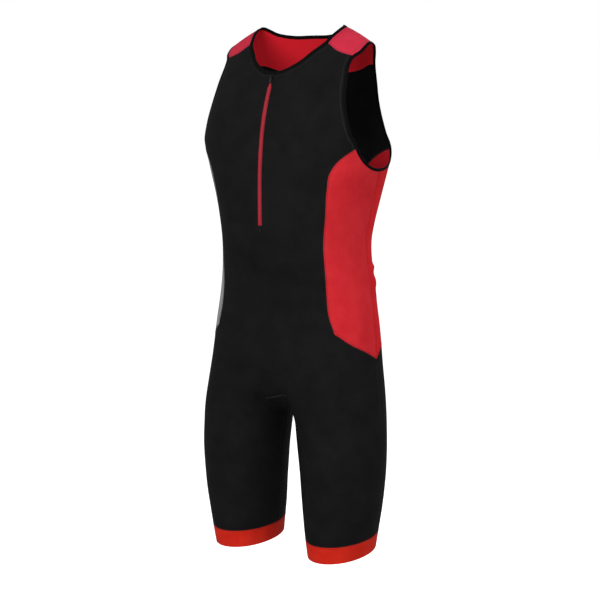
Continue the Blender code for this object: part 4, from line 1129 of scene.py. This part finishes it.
def build_trim(finish, cloth_near):
    """Bindings, stitching and zip coil, by name."""
    neck = neck_path()
    made = [dress(binding("neck_tape", neck, NECK_BINDING, False, finish["binding"]),
                  ["neck_binding"])]
    arms, seams, panels, bands, inside = [], [], [], [], []
    for side, word in HALVES:
        arms.append(armhole_path(side))
        made.append(dress(binding(f"armhole_tape_{word}", arms[-1], ARM_BINDING, True,
                                  finish["binding"]), [f"armhole_binding_{word}"]))
        black, panel, band = seam_lines(side)
        seams += black + gusset_lines(cloth_near, side)
        panels.append(panel)
        bands += band
        inside.append(seam_line(join(*panel_edges(REAR_EDGE)), side))
    share = np.linspace(0, 1, 60)[:, None]
    bar = laid(GUSSET_BAR[0] * (1 - share) + GUSSET_BAR[1] * share, *cloth_near)
    zip_edges = [shifted(zip_line(), across) for across in (-ZIP_STITCH, ZIP_STITCH)]
    foot = seam_line(line((ZIP_MIDDLE, ZIP_FOOT_LEVEL),
                          (ZIP_MIDDLE, ZIP_FOOT_LEVEL - ZIP_FOOT_SEAM), 6))
    for name, paths, rows, thread, lift in (
            ("seam_stitches", seams, SEAM_ROWS, "black_thread", STITCH_LIFT),
            ("band_stitches", bands, BAND_ROWS, "black_thread", STITCH_LIFT),
            ("side_stitches_left", panels[0], SEAM_ROWS, "red_thread", STITCH_LIFT),
            ("side_stitches_right", panels[1], SEAM_ROWS, "pale_thread", STITCH_LIFT),
            ("armhole_stitches", arms, TOPSTITCH_ROW, "grey_thread", STITCH_LIFT),
            ("neck_stitches", [neck], TOPSTITCH_ROW, "black_thread", STITCH_LIFT),
            ("gusset_stitches", [bar], BAR_ROWS, "grey_thread", STITCH_LIFT),
            ("zip_stitches", zip_edges, ONE_ROW, "wine_thread", STITCH_LIFT),
            ("inner_stitches", inside, SEAM_ROWS, "rose_thread", -INSIDE),
            ("zip_foot_stitches", [foot], ONE_ROW, "grey_thread", STITCH_LIFT)):
        made.append(dress(stitch_rows(name, paths, rows, finish[thread], lift)))
    made.append(dress(coil("zip_coil", finish["coil"])))
    return {piece.name: piece for piece in made}


# ---- stage, light and camera ----

CAMERA_AZIMUTH, CAMERA_ELEVATION, CAMERA_ROLL = 30.77, 7.09, 0.436      # degrees
CAMERA_DISTANCE = 2.523
CAMERA_LENS = 86.42         # millimetres on a 36 mm sensor
CAMERA_TARGET = (0.0060, -0.0094, -0.4572)
CAMERA_CLIP = (0.05, 200.0)
FLOOR_HEIGHT = -1.46        # where the feet of a wearer would stand
FLOOR_REACH = 40.0
FLOOR_GLOW, SURROUND_GLOW = 0.72, 0.50
LIGHTS = (
    # name, azimuth, elevation, distance, size, power
    ("key", 4.0, 13.0, 3.0, 1.6, 56.0),
    ("top", 10.0, 60.0, 3.0, 1.2, 10.0),
    ("fill", 60.0, 24.0, 3.2, 2.0, 37.0),
    ("side_left", 106.0, 20.0, 3.2, 1.8, 14.0),
    ("side_right", -78.0, 20.0, 3.2, 1.8, 12.0),
    ("back", 185.0, 30.0, 3.2, 1.8, 22.0),
)


def direction(azimuth, elevation):
    """Unit vector from the suit towards an azimuth (0 in front, 90 its left) and elevation."""
    a, e = math.radians(azimuth), math.radians(elevation)
    return np.array([math.sin(a) * math.cos(e), -math.cos(a) * math.cos(e), math.sin(e)])


def aim(thing, back, roll=0.0):
    """Turn a camera or light to look along minus back, rolled about that line."""
    right = unit(np.cross((0.0, 0.0, 1.0), back))
    up = np.cross(back, right)
    c, s = math.cos(math.radians(roll)), math.sin(math.radians(roll))
    turn = np.eye(4)
    turn[:3, 0], turn[:3, 1], turn[:3, 2] = right * c + up * s, up * c - right * s, back
    turn[:3, 3] = thing.location
    thing.matrix_world = Matrix(turn.tolist())


def set_stage():
    """White sweep: a wide pale floor, a white surround and six large soft lamps."""
    scene = bpy.context.scene
    scene.view_settings.view_transform = "Standard"
    mesh = bpy.data.meshes.new("floor")
    mesh.from_pydata([(x * FLOOR_REACH, y * FLOOR_REACH, FLOOR_HEIGHT)
                      for x, y in ((-1, -1), (1, -1), (1, 1), (-1, 1))], [], [(0, 1, 2, 3)])
    floor = bpy.data.objects.new("floor", mesh)
    scene.collection.objects.link(floor)
    # Painted studio floor: matt white, with a glow that stands for the lamps over it.
    paint, _, _ = new_material("matt_white_floor", {
        "Base Color": colour("E6E6E6"), "Roughness": 0.9, "Emission Color": colour("FFFFFF"),
        "Emission Strength": FLOOR_GLOW})
    mesh.materials.append(paint)
    floor.visible_diffuse = floor.visible_glossy = False
    world = bpy.data.worlds.new("studio")
    scene.world = world
    world.use_nodes = True
    tree = world.node_tree
    glow = tree.nodes["Background"]
    glow.inputs["Color"].default_value = colour("FFFFFF")
    glow.inputs["Strength"].default_value = SURROUND_GLOW
    seen = add_node(tree, "ShaderNodeBackground", {"Color": colour("FFFFFF"), "Strength": 1.0})
    ray = add_node(tree, "ShaderNodeLightPath")
    pick = add_node(tree, "ShaderNodeMixShader", {}, {
        0: ray.outputs["Is Camera Ray"], 1: glow.outputs[0], 2: seen.outputs[0]})
    tree.links.new(pick.outputs[0], tree.nodes["World Output"].inputs["Surface"])
    for name, azimuth, elevation, distance, size, power in LIGHTS:
        lamp = bpy.data.lights.new(name, "AREA")
        lamp.shape = "DISK"
        lamp.size, lamp.energy = size, power
        holder = bpy.data.objects.new(name, lamp)
        back = direction(azimuth, elevation)
        holder.location = np.array(CAMERA_TARGET) + back * distance
        scene.collection.objects.link(holder)
        aim(holder, back)
        holder.visible_camera = False


def set_camera():
    """Camera at the wearer's left front, a little above the middle of the suit."""
    data = bpy.data.cameras.new("camera")
    data.lens, data.sensor_width = CAMERA_LENS, 36.0
    data.clip_start, data.clip_end = CAMERA_CLIP
    camera = bpy.data.objects.new("camera", data)
    bpy.context.scene.collection.objects.link(camera)
    back = direction(CAMERA_AZIMUTH, CAMERA_ELEVATION)
    camera.location = np.array(CAMERA_TARGET) + back * CAMERA_DISTANCE
    aim(camera, back, CAMERA_ROLL)
    bpy.context.scene.camera = camera


def main():
    """The suit and its finishes, then the camera and the stage."""
    finish = make_materials()
    cloth, cloth_near = build_cloth(finish)
    trim = build_trim(finish, cloth_near)
    for name in ("zip_slider", "zip_pull"):
        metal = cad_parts[name].data.materials
        metal.clear()
        metal.append(finish["metal"])
    set_camera()
    set_stage()


main()
